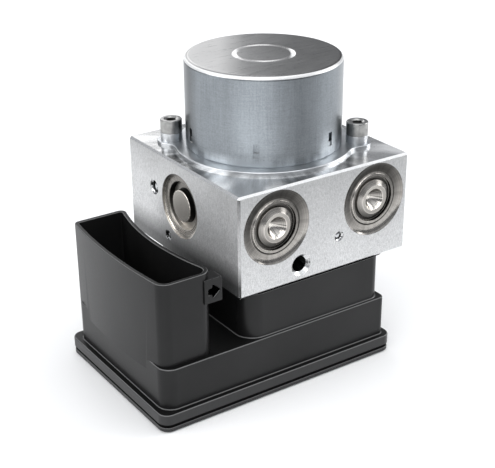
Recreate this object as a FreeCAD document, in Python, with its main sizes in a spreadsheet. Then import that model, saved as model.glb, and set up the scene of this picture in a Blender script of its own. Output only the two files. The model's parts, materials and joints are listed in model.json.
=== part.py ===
import FreeCAD, Part
import math
import os
import re

import PartDesign
import Sketcher

# Brake pressure control module: a pump motor on an aluminium valve block, with the
# electronic control unit and its upright plug socket underneath.
# The part stands on the underside of the control unit's cover. Z is the motor's axis,
# -Y looks out of the face with the two big caps, and -X looks out of the socket side.
# All sizes are in millimetres and angles in degrees.

# Driving dimensions, one name each.
SIZES = {
    # control unit cover and the seam above it
    "cover_thickness": 2.3,
    "seam_gap": 0.8,
    "cover_inset": 0.3,
    "cover_edge_round": 1.0,
    "seal_inset": 1.0,
    "seal_width": 2.2,
    "cover_rib_height": 2.6,
    "cover_rib_wall": 1.5,
    "rib_clearance": 0.4,
    # control unit housing, measured from the motor axis
    "flange_height": 5.0,
    "flange_overhang": 3.2,
    "flange_round": 5.0,
    "flange_edge_round": 0.8,
    "ledge_edge_round": 0.8,
    "body_left": -78.6,
    "body_right": 32.9,
    "body_front": -45.1,
    "body_back": 30.6,
    "body_height": 18.2,
    "body_round": 6.0,
    "body_right_round": 2.6,
    "housing_wall": 2.4,
    "neck_left": -38.8,
    "neck_right": 30.7,
    "neck_front": -43.5,
    "neck_back": 28.4,
    "neck_left_round": 8.0,
    "neck_right_round": 4.5,
    "neck_rim": 2.6,
    "neck_rim_reach": 3.2,
    "gasket_thickness": 0.8,
    "gasket_inset": 0.4,
    # plug socket of the control unit
    "socket_left": -81.8,
    "socket_right": -56.2,
    "socket_front": -44.75,
    "socket_back": 32.15,
    "socket_middle": -6.0,
    "socket_outer_bow": 250.0,
    "socket_inner_bow": 120.0,
    "socket_corner": 6.0,
    "socket_wall": 1.8,
    "socket_rim": 62.5,
    "socket_root": 21.3,
    "socket_taper": 2.6,
    "socket_taper_inset": 1.7,
    "socket_floor": 30.0,
    "lug_reach": 6.1,
    "lug_root": 2.2,
    "lug_front_gap": 1.2,
    "lug_depth": 7.0,
    "lug_height": 10.5,
    "lug_top_drop": 2.8,
    "lug_notch_depth": 1.6,
    "lug_notch_half": 3.0,
    "lug_notch_tip": 1.3,
    "lug_notch_long": 3.2,
    "key_width": 2.0,
    "key_reach": 1.4,
    "key_drop": 5.0,
    "key_spread": 20.0,
    # terminals in the socket
    "header_length": 52.0,
    "header_width": 12.0,
    "header_below": 2.0,
    "header_proud": 1.0,
    "pins_per_row": 11,
    "pin_pitch": 2.8,
    "pin_row_gap": 5.0,
    "pin_wide": 1.2,
    "pin_thin": 0.8,
    "pin_top": 46.0,
    "blade_wide": 6.3,
    "blade_thin": 1.2,
    "blade_offset": 20.0,
    # circuit board
    "board_low": 14.0,
    "board_thickness": 1.6,
    "board_clearance": 1.0,
    "post_radius": 2.5,
    "board_post_left": -71.0,
    "board_post_middle": -47.0,
    "board_post_right": 26.0,
    "board_post_front": -38.5,
    "board_post_back": 23.5,
    "chip_width": 16.0,
    "chip_height": 1.8,
    "capacitor_across": -46.0,
    "capacitor_radius": 5.0,
    "capacitor_height": 7.4,
    # valve block
    "block_low": 47.1,
    "block_height": 43.7,
    "block_width": 85.7,
    "block_front": -44.5,
    "block_depth": 85.9,
    "block_edge": 0.9,
    "seat_clearance": 0.05,
    # accumulators behind the two big caps
    "accumulator_spread": 24.8,
    "accumulator_height": 74.0,
    "cap_radius": 15.8,
    "cap_depth": 6.0,
    "cap_spigot_depth": 2.0,
    "cap_cone_radius": 5.9,
    "cap_cone_depth": 5.2,
    "cap_boss_radius": 8.5,
    "cap_boss_bevel": 1.1,
    "cap_boss_proud": 0.3,
    "cap_groove_depth": 1.9,
    "cap_ridge_inner": 9.9,
    "cap_ridge_outer": 11.2,
    "cap_ridge_sink": 0.5,
    "cap_lip_inner": 12.2,
    "cap_lip_outer": 12.8,
    "cap_lip_sink": 0.4,
    "cap_dish_bow": 1.75,
    "cap_rim_sink": 0.3,
    "accumulator_bore": 8.8,
    "accumulator_length": 30.0,
    "piston_clearance": 0.08,
    "accumulator_piston_length": 9.0,
    "accumulator_end_gap": 0.3,
    "piston_wall": 2.4,
    "ring_groove_width": 2.0,
    "ring_section": 0.65,
    "accumulator_spring_radius": 5.0,
    "accumulator_spring_wire": 0.8,
    "accumulator_spring_turns": 5,
    # pumps in the two sides
    "pump_height": 71.7,
    "plug_radius": 14.0,
    "plug_depth": 6.0,
    "plug_stub_radius": 7.0,
    "plug_stub_sink": 1.2,
    "plug_stub_bevel": 0.4,
    "plug_groove_radius": 10.3,
    "plug_groove_depth": 4.2,
    "plug_ring_sink": 1.4,
    "plug_ring_bow": 6.0,
    "plug_rim_sink": 0.3,
    "sleeve_gap": 1.0,
    "sleeve_groove_start": 5.0,
    "sleeve_groove_width": 3.0,
    "sleeve_groove_depth": 0.8,
    "pump_bore": 8.0,
    "pump_piston_radius": 3.25,
    "pump_piston_length": 15.0,
    "pump_gap": 0.1,
    "pump_spring_radius": 2.4,
    "pump_spring_wire": 0.4,
    "pump_spring_turns": 6,
    # hole for a mounting bolt, and the closed drillings
    "mount_across": -12.7,
    "mount_height": 54.2,
    "mount_side_across": 24.0,
    "mount_back_across": -8.0,
    "mount_bore": 3.4,
    "mount_rim": 4.7,
    "mount_depth": 15.0,
    "front_ball_across": 6.75,
    "front_ball_height": 61.9,
    "front_ball_radius": 2.3,
    "side_ball_across": 20.5,
    "side_ball_height": 73.7,
    "side_ball_radius": 3.3,
    "low_ball_across": 10.1,
    "low_ball_height": 55.0,
    "low_ball_radius": 2.4,
    "ball_sink": 0.8,
    # pipe ports in the back
    "port_pitch": 19.0,
    "port_height": 79.0,
    "inlet_spread": 19.0,
    "inlet_height": 59.5,
    "port_bore": 4.5,
    "inlet_bore": 5.4,
    "port_depth": 12.0,
    "port_drill": 1.6,
    "port_drill_depth": 20.0,
    # solenoid valves under the block
    "valve_pitch": 14.0,
    "inlet_row": -22.0,
    "outlet_row": -4.0,
    "valve_collar": 6.3,
    "valve_collar_depth": 3.5,
    "valve_stem": 4.4,
    "valve_depth": 11.0,
    "valve_dome": 3.6,
    "valve_dome_length": 17.0,
    "valve_dome_wall": 1.0,
    "plunger_clearance": 0.08,
    "plunger_length": 12.0,
    "plunger_travel": 0.3,
    "plunger_pin": 0.7,
    "plunger_pin_length": 3.0,
    "plunger_end_gap": 0.05,
    "valve_port": 1.2,
    "valve_foot": 1.0,
    "valve_dome_round": 1.5,
    "coil_radius": 6.6,
    "coil_low": 31.0,
    "coil_height": 13.0,
    "coil_gap": 0.3,
    "coil_plate": 1.6,
    "coil_plate_half": 6.5,
    "coil_lead_spread": 4.6,
    "coil_lead": 0.5,
    # screws that hold the housing to the block, from inside
    "house_screw_bore": 2.0,
    "house_screw_head": 3.3,
    "house_screw_head_height": 3.0,
    "house_screw_grip": 12.8,
    "house_screw_bite": 11.0,
    "house_post": 4.4,
    "house_post_inset": 4.1,
    # motor
    "motor_radius": 33.2,
    "motor_wall": 1.8,
    "motor_height": 39.4,
    "motor_top_round": 2.2,
    "bead_outer": 13.2,
    "bead_inner": 11.4,
    "bead_depth": 0.45,
    "lance_width": 2.4,
    "lance_height": 5.9,
    "lance_rise": 4.2,
    "lance_recess": 0.5,
    "lance_turn": -40.0,
    "lance_count": 6,
    "plate_radius": 38.2,
    "plate_thickness": 1.4,
    "plate_lip": 1.5,
    "screw_across": 31.2,
    "screw_along": 24.3,
    "ear_radius": 6.2,
    "ear_round": 5.0,
    "boss_radius": 4.8,
    "boss_height": 4.8,
    "boss_round": 0.8,
    "motor_screw_bore": 3.0,
    "motor_screw_bite": 7.5,
    "motor_screw_run_out": 0.5,
    "motor_screw_head": 4.7,
    "motor_screw_head_height": 5.7,
    "motor_screw_socket": 2.3,
    "motor_screw_socket_depth": 3.0,
    "screw_bevel": 0.5,
    "ring_radius": 34.0,
    "motor_ring_section": 0.95,
    # motor shaft, eccentric and bearings
    "cavity_radius": 12.0,
    "cavity_floor": 61.5,
    "shaft_radius": 4.0,
    "shaft_end_gap": 0.8,
    "shaft_low": 63.5,
    "shaft_shoulder": 5.0,
    "shaft_collar": 1.0,
    "eccentric_offset": 1.2,
    "eccentric_radius": 6.2,
    "eccentric_height": 10.0,
    "running_clearance": 0.05,
    "eccentric_ring_radius": 8.6,
    "ring_end_gap": 0.3,
    "bearing_height": 8.0,
    "bearing_outer": 13.0,
    "bearing_outer_bore": 10.3,
    "bearing_inner_rim": 7.7,
    "bearing_pitch": 9.0,
    "bearing_ball": 2.0,
    "bearing_play": 0.06,
    "bearing_balls": 8,
    "cage_half": 0.5,
    "cage_height": 5.8,
    "top_bearing_radius": 8.0,
    "top_bearing_height": 6.8,
    "bearing_seat_wall": 2.0,
    # armature, commutator and magnets
    "core_radius": 24.4,
    "core_rise": 14.2,
    "core_height": 16.0,
    "core_slots": 12,
    "slot_width": 4.6,
    "slot_floor": 11.0,
    "tooth_gap": 1.8,
    "tooth_tip": 2.0,
    "winding_width": 4.0,
    "winding_inner": 11.0,
    "winding_gap": 0.3,
    "winding_outer": 20.6,
    "winding_overhang": 2.8,
    "commutator_radius": 9.0,
    "commutator_rise": 3.2,
    "commutator_height": 7.6,
    "commutator_slit": 0.5,
    "commutator_slit_depth": 1.2,
    "magnet_thickness": 6.2,
    "magnet_rise": 12.7,
    "magnet_height": 19.0,
    "magnet_span": 76.0,
    # brushes
    "holder_radius": 31.0,
    "holder_bore": 10.2,
    "holder_thickness": 2.2,
    "box_width": 9.6,
    "box_height": 7.4,
    "box_start": 12.0,
    "box_end": 29.0,
    "box_end_wall": 1.2,
    "box_floor": 1.0,
    "brush_width": 6.0,
    "brush_height": 4.6,
    "brush_length": 10.5,
    "brush_gap": 0.1,
    "brush_slack": 0.15,
    "brush_spring_radius": 1.7,
    "brush_spring_wire": 0.3,
    "brush_spring_turns": 5,
    # lead from the motor to the circuit board
    "lead_along": 20.0,
    "lead_radius": 4.0,
    "lead_low": 19.0,
    "lead_pin": 0.9,
    "lead_pin_spread": 1.8,
}

doc = FreeCAD.newDocument("BrakeModule")
sheet = doc.addObject("Spreadsheet::Sheet", "Sizes")
for row, (alias, value) in enumerate(SIZES.items(), start=1):
    sheet.set(f"A{row}", alias.replace("_", " "))
    sheet.set(f"B{row}", str(value))
    sheet.setAlias(f"B{row}", alias)
doc.recompute()

PARTS = []
WORD = re.compile(r"[a-z_]+[a-z0-9_]*")


def full(text):
    """Write the sheet's name before each size named in an expression."""
    return WORD.sub(lambda found: "Sizes." + found[0] if found[0] in SIZES else found[0], text)


def number(text):
    """Work an expression of sizes out."""
    return float(sheet.evalExpression(full(text)))


def bind(thing, **sizes):
    """Tie properties of an object to expressions; X, Y and Z tie its place."""
    for name, text in sizes.items():
        path = "Placement.Base." + name.lower() if name in ("X", "Y", "Z") else name
        thing.setExpression(path, full(text))
    return thing


def keep(thing, label):
    """Label an object as one sub-part of the module."""
    thing.Label = label
    PARTS.append(thing)
    return thing


# Sketches: each corner and radius is tied to the sheet.

def sketch_on(body, plane, name, across="0", along="0", away="0"):
    """Start a sketch on an origin plane of the body, moved within and away from that plane."""
    base = next(item for item in body.Origin.OriginFeatures if item.Role == plane)
    sketch = body.newObject("Sketcher::SketchObject", name)
    sketch.AttachmentSupport = [(base, "")]
    sketch.MapMode = "FlatFace"
    for axis, text in (("x", across), ("y", along), ("z", away)):
        if text != "0":
            sketch.setExpression("AttachmentOffset.Base." + axis, full(text))
    return sketch


def fix(sketch, kind, parts, text):
    """Add one driven dimension to a sketch."""
    index = sketch.addConstraint(Sketcher.Constraint(kind, *parts, number(text)))
    sketch.setExpression(f"Constraints[{index}]", full(text))


def fix_point(sketch, item, end, across, along):
    """Hold a point at its distances from the sketch's origin."""
    if across == "0":
        sketch.addConstraint(Sketcher.Constraint("PointOnObject", item, end, -2))
    else:
        fix(sketch, "DistanceX", (-1, 1, item, end), across)
    if along == "0":
        sketch.addConstraint(Sketcher.Constraint("PointOnObject", item, end, -1))
    else:
        fix(sketch, "DistanceY", (-1, 1, item, end), along)


def bowed(start, end, radius):
    """Arc from start to end; a positive radius bows it to the right of its way."""
    half = (end - start) * 0.5
    lift = math.sqrt(radius * radius - half.Length * half.Length)
    left = FreeCAD.Vector(-half.y, half.x, 0).normalize()
    centre = start + half + left * math.copysign(lift, radius)
    first, last = (start, end) if radius > 0 else (end, start)
    angles = [math.atan2(point.y - centre.y, point.x - centre.x) for point in (first, last)]
    circle = Part.Circle(centre, FreeCAD.Vector(0, 0, 1), abs(radius))
    return Part.ArcOfCircle(circle, *angles)


def outline(sketch, corners):
    """Close an outline; a third value in a corner bows the side after it."""
    spots = [FreeCAD.Vector(number(corner[0]), number(corner[1]), 0) for corner in corners]
    items = []
    for place, corner in enumerate(corners):
        start, end = spots[place], spots[(place + 1) % len(spots)]
        if len(corner) == 2:
            items.append((sketch.addGeometry(Part.LineSegment(start, end)), 1, 2))
            continue
        radius = number(corner[2])
        item = sketch.addGeometry(bowed(start, end, radius))
        items.append((item, 1, 2) if radius > 0 else (item, 2, 1))
    for place, (item, first, last) in enumerate(items):
        following = items[(place + 1) % len(items)]
        sketch.addConstraint(Sketcher.Constraint("Coincident", item, last, following[0], following[1]))
    for corner, (item, first, last) in zip(corners, items):
        fix_point(sketch, item, first, corner[0], corner[1])
        if len(corner) == 3:
            sign = "" if number(corner[2]) > 0 else "-1 * "
            fix(sketch, "Radius", (item,), f"{sign}({corner[2]})")
    return sketch


def circle(sketch, across, along, radius):
    """Add a circle."""
    centre = FreeCAD.Vector(number(across), number(along), 0)
    item = sketch.addGeometry(Part.Circle(centre, FreeCAD.Vector(0, 0, 1), number(radius)))
    fix_point(sketch, item, 3, across, along)
    fix(sketch, "Radius", (item,), radius)
    return sketch


def tangent_ring(sketch, items):
    """Join lines and arcs, given in counter-clockwise order, smoothly end to start."""
    for place, item in enumerate(items):
        following = items[(place + 1) % len(items)]
        sketch.addConstraint(Sketcher.Constraint("Tangent", item, 2, following, 1))


def arc_between(sketch, centre, radius, start, end):
    """Add an arc about a centre, by angles in degrees, counter-clockwise."""
    whole = Part.Circle(FreeCAD.Vector(*centre, 0), FreeCAD.Vector(0, 0, 1), radius)
    return sketch.addGeometry(Part.ArcOfCircle(whole, math.radians(start), math.radians(end)))


def line_between(sketch, start, end):
    """Add a straight side."""
    return sketch.addGeometry(Part.LineSegment(FreeCAD.Vector(*start, 0), FreeCAD.Vector(*end, 0)))


def rounded_box(sketch, left, right, front, back, left_round, right_round):
    """Close a rectangle with one radius at its left corners and another at its right ones."""
    x_low, x_high, y_low, y_high = (number(text) for text in (left, right, front, back))
    small, large = number(left_round), number(right_round)
    items = [
        line_between(sketch, (x_low + small, y_low), (x_high - large, y_low)),
        arc_between(sketch, (x_high - large, y_low + large), large, -90, 0),
        line_between(sketch, (x_high, y_low + large), (x_high, y_high - large)),
        arc_between(sketch, (x_high - large, y_high - large), large, 0, 90),
        line_between(sketch, (x_high - large, y_high), (x_low + small, y_high)),
        arc_between(sketch, (x_low + small, y_high - small), small, 90, 180),
        line_between(sketch, (x_low, y_high - small), (x_low, y_low + small)),
        arc_between(sketch, (x_low + small, y_low + small), small, 180, 270),
    ]
    tangent_ring(sketch, items)
    for item, kind in ((0, "Horizontal"), (2, "Vertical"), (4, "Horizontal"), (6, "Vertical")):
        sketch.addConstraint(Sketcher.Constraint(kind, items[item]))
    for item, text in ((1, right_round), (3, right_round), (5, left_round), (7, left_round)):
        fix(sketch, "Radius", (items[item],), text)
    fix(sketch, "DistanceY", (-1, 1, items[0], 1), front)
    fix(sketch, "DistanceX", (-1, 1, items[2], 1), right)
    fix(sketch, "DistanceY", (-1, 1, items[4], 1), back)
    fix(sketch, "DistanceX", (-1, 1, items[6], 1), left)
    return sketch


# Features.

def new_body(name):
    """Start a body."""
    return doc.addObject("PartDesign::Body", name + "_body")


def pad(body, sketch, length, down=False, name="Pad"):
    """Grow a sketch along its normal, or against it."""
    feature = body.newObject("PartDesign::Pad", name)
    feature.Profile = sketch
    feature.Reversed = down
    return bind(feature, Length=length)


def pocket(body, sketch, length, along=False, name="Pocket"):
    """Cut a sketch against its normal, or along it."""
    feature = body.newObject("PartDesign::Pocket", name)
    feature.Profile = sketch
    feature.Reversed = along
    return bind(feature, Length=length)


def revolve(body, sketch, axis="V_Axis", cut=False):
    """Turn a sketch a full circle about one of its axes, as solid or as a cut."""
    kind = "Groove" if cut else "Revolution"
    feature = body.newObject("PartDesign::" + kind, kind)
    feature.Profile = sketch
    feature.ReferenceAxis = (sketch, [axis])
    feature.Angle = 360
    return feature


def around(body, feature, count):
    """Repeat a feature evenly about the body's Z axis."""
    axis = next(item for item in body.Origin.OriginFeatures if item.Role == "Z_Axis")
    pattern = body.newObject("PartDesign::PolarPattern", "Around")
    pattern.Originals = [feature]
    pattern.Axis = (axis, [""])
    pattern.Angle = 360
    bind(pattern, Occurrences=count)
    body.Tip = pattern
    return pattern


def dress(body, kind, edges, size):
    """Round or bevel the edges of the body's last feature that a test picks."""
    doc.recompute()
    base = body.Tip
    names = [f"Edge{index}" for index, edge in enumerate(base.Shape.Edges, start=1) if edges(edge)]
    feature = body.newObject("PartDesign::" + kind, kind)
    feature.Base = (base, names)
    return bind(feature, **{"Radius" if kind == "Fillet" else "Size": size})


def level(edge, height, slack=0.01):
    """Tell whether an edge lies flat at a height."""
    box = edge.BoundBox
    return abs(box.ZMin - height) < slack and abs(box.ZMax - height) < slack


def upright(edge, across, along, slack=0.02):
    """Tell whether an edge stands upright at a place."""
    box = edge.BoundBox
    thin = box.XLength < slack and box.YLength < slack
    return thin and abs(box.XMin - across) < slack and abs(box.YMin - along) < slack


def turned(label, profile, spot=("0", "0", "0"), tip="up"):
    """Make a turned piece from its half section, given as radius and height."""
    body = new_body(label)
    outline(sketch_on(body, "XZ_Plane", label + "_section"), profile)
    revolve(body, body.Group[-1])
    return stand(body, spot, tip)


def stand(body, spot, tip):
    """Put a body in its place with its own Z axis towards one side of the module."""
    axis, angle = {"up": ((0, 0, 1), 0), "front": ((1, 0, 0), 90), "back": ((1, 0, 0), -90),
                   "left": ((0, 1, 0), -90), "right": ((0, 1, 0), 90)}[tip]
    body.Placement = FreeCAD.Placement(FreeCAD.Vector(), FreeCAD.Rotation(FreeCAD.Vector(*axis), angle))
    return bind(body, X=spot[0], Y=spot[1], Z=spot[2])


def coil_spring(label, radius, wire, length, turns, spot, tip):
    """Wind a compression spring of round wire between two seats."""
    body = new_body(label)
    sketch = circle(sketch_on(body, "XZ_Plane", label + "_wire"), radius, wire, wire)
    helix = body.newObject("PartDesign::AdditiveHelix", "Coil")
    helix.Profile = sketch
    helix.ReferenceAxis = (sketch, ["V_Axis"])
    helix.Mode = "height-turns-angle"
    bind(helix, Height=f"{length} - 2 * {wire}", Turns=turns)
    return stand(body, spot, tip)


def bore(body, face, across, up, steps):
    """Cut a stepped round hole; steps are radii with depths from the block's face."""
    half = "block_width / 2"
    start, sign, plane, axis, place = {
        "front": ("block_front", "", "XY_Plane", "V_Axis", (across, "0", up)),
        "back": ("(block_front + block_depth)", "-", "XY_Plane", "V_Axis", (across, "0", up)),
        "left": (f"(-{half})", "", "XY_Plane", "H_Axis", ("0", across, up)),
        "right": (f"({half})", "-", "XY_Plane", "H_Axis", ("0", across, up)),
        "top": ("(block_low + block_height)", "-", "XZ_Plane", "V_Axis", (across, "0", f"-1 * ({up})")),
        "bottom": ("block_low", "", "XZ_Plane", "V_Axis", (across, "0", f"-1 * ({up})")),
    }[face]
    sketch = sketch_on(body, plane, "Bore_section", *place)
    sign = "- " if sign else "+ "
    marks = [(radius, f"{start} {sign}({depth})") for radius, depth in steps]
    marks = [("0", marks[0][1])] + marks + [("0", marks[-1][1])]
    if axis == "H_Axis":
        marks = [(along, radius) for radius, along in marks]
    outline(sketch, marks)
    return revolve(body, sketch, axis, cut=True)


# Valve block.

SIDES = (("left", "-1"), ("right", "1"))
VALVE_PLACES = ("-1.5", "-0.5", "0.5", "1.5")
BLOCK_TOP = "(block_low + block_height)"
BLOCK_BACK = "(block_front + block_depth)"
HOUSE_SCREWS = (
    ("neck_left + housing_wall + house_post_inset", "neck_front + housing_wall + house_post_inset"),
    ("neck_right - housing_wall - house_post_inset", "neck_front + housing_wall + house_post_inset"),
    ("neck_left + housing_wall + house_post_inset", "neck_back - housing_wall - house_post_inset"),
    ("neck_right - housing_wall - house_post_inset", "neck_back - housing_wall - house_post_inset"),
)
NECK_TOP = "(block_low - gasket_thickness)"


def hydraulic_block():
    """Aluminium block with every bore, port and threaded hole."""
    body = new_body("hydraulic_block")
    sketch = sketch_on(body, "XY_Plane", "Block_outline", away="block_low")
    left, right = "-1 * block_width / 2", "block_width / 2"
    outline(sketch, [
        (left, "block_front"), (right, "block_front"), (right, BLOCK_BACK), (left, BLOCK_BACK)])
    pad(body, sketch, "block_height")
    dress(body, "Chamfer", lambda edge: True, "block_edge")
    bore(body, "top", "0", "0", [
        ("bearing_outer + seat_clearance", "0"), ("bearing_outer + seat_clearance", "bearing_height"),
        ("cavity_radius", "bearing_height"), ("cavity_radius", f"{BLOCK_TOP} - cavity_floor")])
    for _, side in SIDES:
        bore(body, "front", f"{side} * accumulator_spread", "accumulator_height", [
            ("cap_radius + seat_clearance", "0"), ("cap_radius + seat_clearance", "cap_depth"),
            ("accumulator_bore", "cap_depth"), ("accumulator_bore", "accumulator_length")])
    for face, _ in SIDES:
        bore(body, face, "0", "pump_height", [
            ("plug_radius + seat_clearance", "0"), ("plug_radius + seat_clearance", "plug_depth"),
            ("pump_bore + seat_clearance", "plug_depth"),
            ("pump_bore + seat_clearance", "block_width / 2 - cavity_radius + 1")])
    cut_valve_bores(body)
    cut_small_holes(body)
    groove = sketch_on(body, "XZ_Plane", "Seal_groove")
    inner, outer = "ring_radius - motor_ring_section - 0.2", "ring_radius + motor_ring_section + 0.2"
    floor = f"{BLOCK_TOP} - 2 * motor_ring_section"
    outline(groove, [
        (inner, floor), (outer, floor), (outer, f"{BLOCK_TOP} + 1"), (inner, f"{BLOCK_TOP} + 1")])
    revolve(body, groove, cut=True)
    return keep(body, "hydraulic_block")


def cut_valve_bores(body):
    """Bore the block's underside for the valves and the housing's screws."""
    for radius, depth in (("valve_collar + seat_clearance", "valve_collar_depth"),
                          ("valve_stem + seat_clearance", "valve_depth")):
        sketch = sketch_on(body, "XY_Plane", "Valve_bores", away="block_low")
        for row_place in ("inlet_row", "outlet_row"):
            for place in VALVE_PLACES:
                circle(sketch, f"{place} * valve_pitch", row_place, radius)
        pocket(body, sketch, depth, along=True)
    sketch = sketch_on(body, "XY_Plane", "House_screw_bores", away="block_low")
    for across, along in HOUSE_SCREWS:
        circle(sketch, across, along, "house_screw_bore + seat_clearance")
    pocket(body, sketch, "house_screw_bite + 1", along=True)
    sketch = sketch_on(body, "XY_Plane", "Lead_bore", away=BLOCK_TOP)
    circle(sketch, "0", "lead_along", "lead_radius + seat_clearance")
    pocket(body, sketch, "block_height")


def port_steps(radius):
    """Steps of a pipe port: a plain bore, a cone for the flared pipe and a drilling behind it."""
    return [(radius, "0"), (radius, "port_depth"),
            ("port_drill", f"port_depth + ({radius} - port_drill) / 2"), ("port_drill", "port_drill_depth")]


def cut_small_holes(body):
    """Cut the screw holes, mounting holes, closed drillings and pipe ports."""
    sketch = sketch_on(body, "XY_Plane", "Motor_screw_bores", away=BLOCK_TOP)
    for side in ("-1", "1"):
        circle(sketch, f"{side} * screw_across", f"-1 * {side} * screw_along",
               "motor_screw_bore + seat_clearance")
    pocket(body, sketch, "motor_screw_bite + motor_screw_run_out")
    thread = [("mount_rim", "0"), ("mount_bore", "mount_rim - mount_bore"), ("mount_bore", "mount_depth")]
    bore(body, "front", "mount_across", "mount_height", thread)
    bore(body, "right", "mount_side_across", "mount_height", thread)
    bore(body, "back", "mount_back_across", "mount_height", thread)
    for face, across, up, radius in BALL_HOLES:
        bore(body, face, across, up, [(radius, "0"), (radius, f"ball_sink + 2 * {radius}")])
    for place in VALVE_PLACES:
        bore(body, "back", f"{place} * port_pitch", "port_height", port_steps("port_bore"))
    for _, side in SIDES:
        bore(body, "back", f"{side} * inlet_spread", "inlet_height", port_steps("inlet_bore"))


BALL_HOLES = (
    ("front", "front_ball_across", "front_ball_height", "front_ball_radius"),
    ("left", "side_ball_across", "side_ball_height", "side_ball_radius"),
    ("left", "low_ball_across", "low_ball_height", "low_ball_radius"),
    ("right", "side_ball_across", "side_ball_height", "side_ball_radius"),
)


def ball_plugs():
    """Steel balls pressed into the closed drillings."""
    balls = []
    for face, across, up, radius in BALL_HOLES:
        ball = doc.addObject("Part::Sphere", "Ball")
        bind(ball, Radius=f"{radius} - seat_clearance", Z=up)
        sink = f"(ball_sink + {radius})"
        if face == "front":
            bind(ball, X=across, Y=f"block_front + {sink}")
        else:
            sign = "-1" if face == "left" else "1"
            bind(ball, Y=across, X=f"{sign} * (block_width / 2 - {sink})")
        balls.append(ball)
    return group(balls, "ball_plugs")


def group(things, label):
    """Keep several separate solids as one sub-part."""
    compound = doc.addObject("Part::Compound", label + "_group")
    compound.Links = things
    return keep(compound, label)


# Accumulators behind the block's front face.

PISTON_RADIUS = "(accumulator_bore - piston_clearance)"
RING_MIDDLE = "accumulator_piston_length / 2"
RING_FLOOR = f"{PISTON_RADIUS} - 2 * ring_section - 0.02"
CAP_BACK = "(cap_depth + cap_spigot_depth)"
PISTON_BASE = "(block_front + accumulator_length - accumulator_end_gap)"

CAP_SECTION = [
    ("0", "-1 * cap_cone_depth"),
    ("cap_cone_radius", "cap_boss_proud"),
    ("cap_boss_radius - cap_boss_bevel", "cap_boss_proud"),
    ("cap_boss_radius", "cap_boss_proud - cap_boss_bevel"),
    ("cap_boss_radius", "-1 * cap_groove_depth"),
    ("cap_ridge_inner", "-1 * cap_groove_depth"),
    ("cap_ridge_inner", "-1 * cap_ridge_sink"),
    ("cap_ridge_outer", "-1 * cap_ridge_sink"),
    ("cap_ridge_outer", "-1 * cap_groove_depth"),
    ("cap_lip_inner", "-1 * cap_groove_depth"),
    ("cap_lip_inner", "-1 * cap_lip_sink"),
    ("cap_lip_outer", "-1 * cap_lip_sink", "cap_dish_bow"),
    ("cap_radius", "-1 * cap_rim_sink"),
    ("cap_radius", "-1 * cap_depth"),
    ("accumulator_bore - seat_clearance", "-1 * cap_depth"),
    ("accumulator_bore - seat_clearance", f"-1 * {CAP_BACK}"),
    ("0", f"-1 * {CAP_BACK}"),
]

PISTON_SECTION = [
    ("0", "0"),
    (PISTON_RADIUS, "0"),
    (PISTON_RADIUS, f"{RING_MIDDLE} - ring_groove_width / 2"),
    (RING_FLOOR, f"{RING_MIDDLE} - ring_groove_width / 2"),
    (RING_FLOOR, f"{RING_MIDDLE} + ring_groove_width / 2"),
    (PISTON_RADIUS, f"{RING_MIDDLE} + ring_groove_width / 2"),
    (PISTON_RADIUS, "accumulator_piston_length"),
    (f"{PISTON_RADIUS} - piston_wall", "accumulator_piston_length"),
    (f"{PISTON_RADIUS} - piston_wall", "piston_wall"),
    ("0", "piston_wall"),
]


def accumulators():
    """Caps, pistons, seals and springs."""
    for name, side in SIDES:
        across = f"{side} * accumulator_spread"
        cap_spot = (across, "block_front", "accumulator_height")
        cap = turned("accumulator_cap_" + name, CAP_SECTION, cap_spot, "front")
        keep(cap, "accumulator_cap_" + name)
        piston_spot = (across, PISTON_BASE, "accumulator_height")
        piston = turned("accumulator_piston_" + name, PISTON_SECTION, piston_spot, "front")
        keep(piston, "accumulator_piston_" + name)
        ring = doc.addObject("Part::Torus", "Piston_ring_" + name)
        ring.Placement = piston.Placement
        bind(ring, Radius1=f"{PISTON_RADIUS} - ring_section", Radius2="ring_section",
             X=across, Y=f"{PISTON_BASE} - {RING_MIDDLE}", Z="accumulator_height")
        keep(ring, "accumulator_seal_" + name)
        room = f"({PISTON_BASE} - piston_wall - block_front - {CAP_BACK})"
        spring_spot = (across, f"block_front + {CAP_BACK}", "accumulator_height")
        spring = coil_spring("accumulator_spring_" + name, "accumulator_spring_radius",
                             "accumulator_spring_wire", room, "accumulator_spring_turns",
                             spring_spot, "back")
        keep(spring, "accumulator_spring_" + name)


# Pumps in the block's two sides.

SLEEVE_START = "(cavity_radius + sleeve_gap)"
PLUG_INSIDE = "(block_width / 2 - plug_depth)"
SLEEVE_BORE = "(pump_piston_radius + running_clearance)"
PISTON_START = "(eccentric_ring_radius + eccentric_offset + pump_gap)"

PLUG_SECTION = [
    ("0", "-1 * plug_stub_sink"),
    ("plug_stub_radius - plug_stub_bevel", "-1 * plug_stub_sink"),
    ("plug_stub_radius", "-1 * (plug_stub_sink + plug_stub_bevel)"),
    ("plug_stub_radius", "-1 * plug_groove_depth"),
    ("plug_groove_radius", "-1 * plug_groove_depth"),
    ("plug_groove_radius", "-1 * plug_ring_sink", "plug_ring_bow"),
    ("plug_radius", "-1 * plug_rim_sink"),
    ("plug_radius", "-1 * plug_depth"),
    ("0", "-1 * plug_depth"),
]

SLEEVE_SECTION = [
    (SLEEVE_BORE, "0"),
    ("pump_bore", "0"),
    ("pump_bore", "sleeve_groove_start"),
    ("pump_bore - sleeve_groove_depth", "sleeve_groove_start"),
    ("pump_bore - sleeve_groove_depth", "sleeve_groove_start + sleeve_groove_width"),
    ("pump_bore", "sleeve_groove_start + sleeve_groove_width"),
    ("pump_bore", f"{PLUG_INSIDE} - {SLEEVE_START}"),
    (SLEEVE_BORE, f"{PLUG_INSIDE} - {SLEEVE_START}"),
]

PUMP_PISTON_SECTION = [
    ("0", "0"),
    ("pump_piston_radius", "0"),
    ("pump_piston_radius", "pump_piston_length"),
    ("0", "pump_piston_length"),
]


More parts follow.
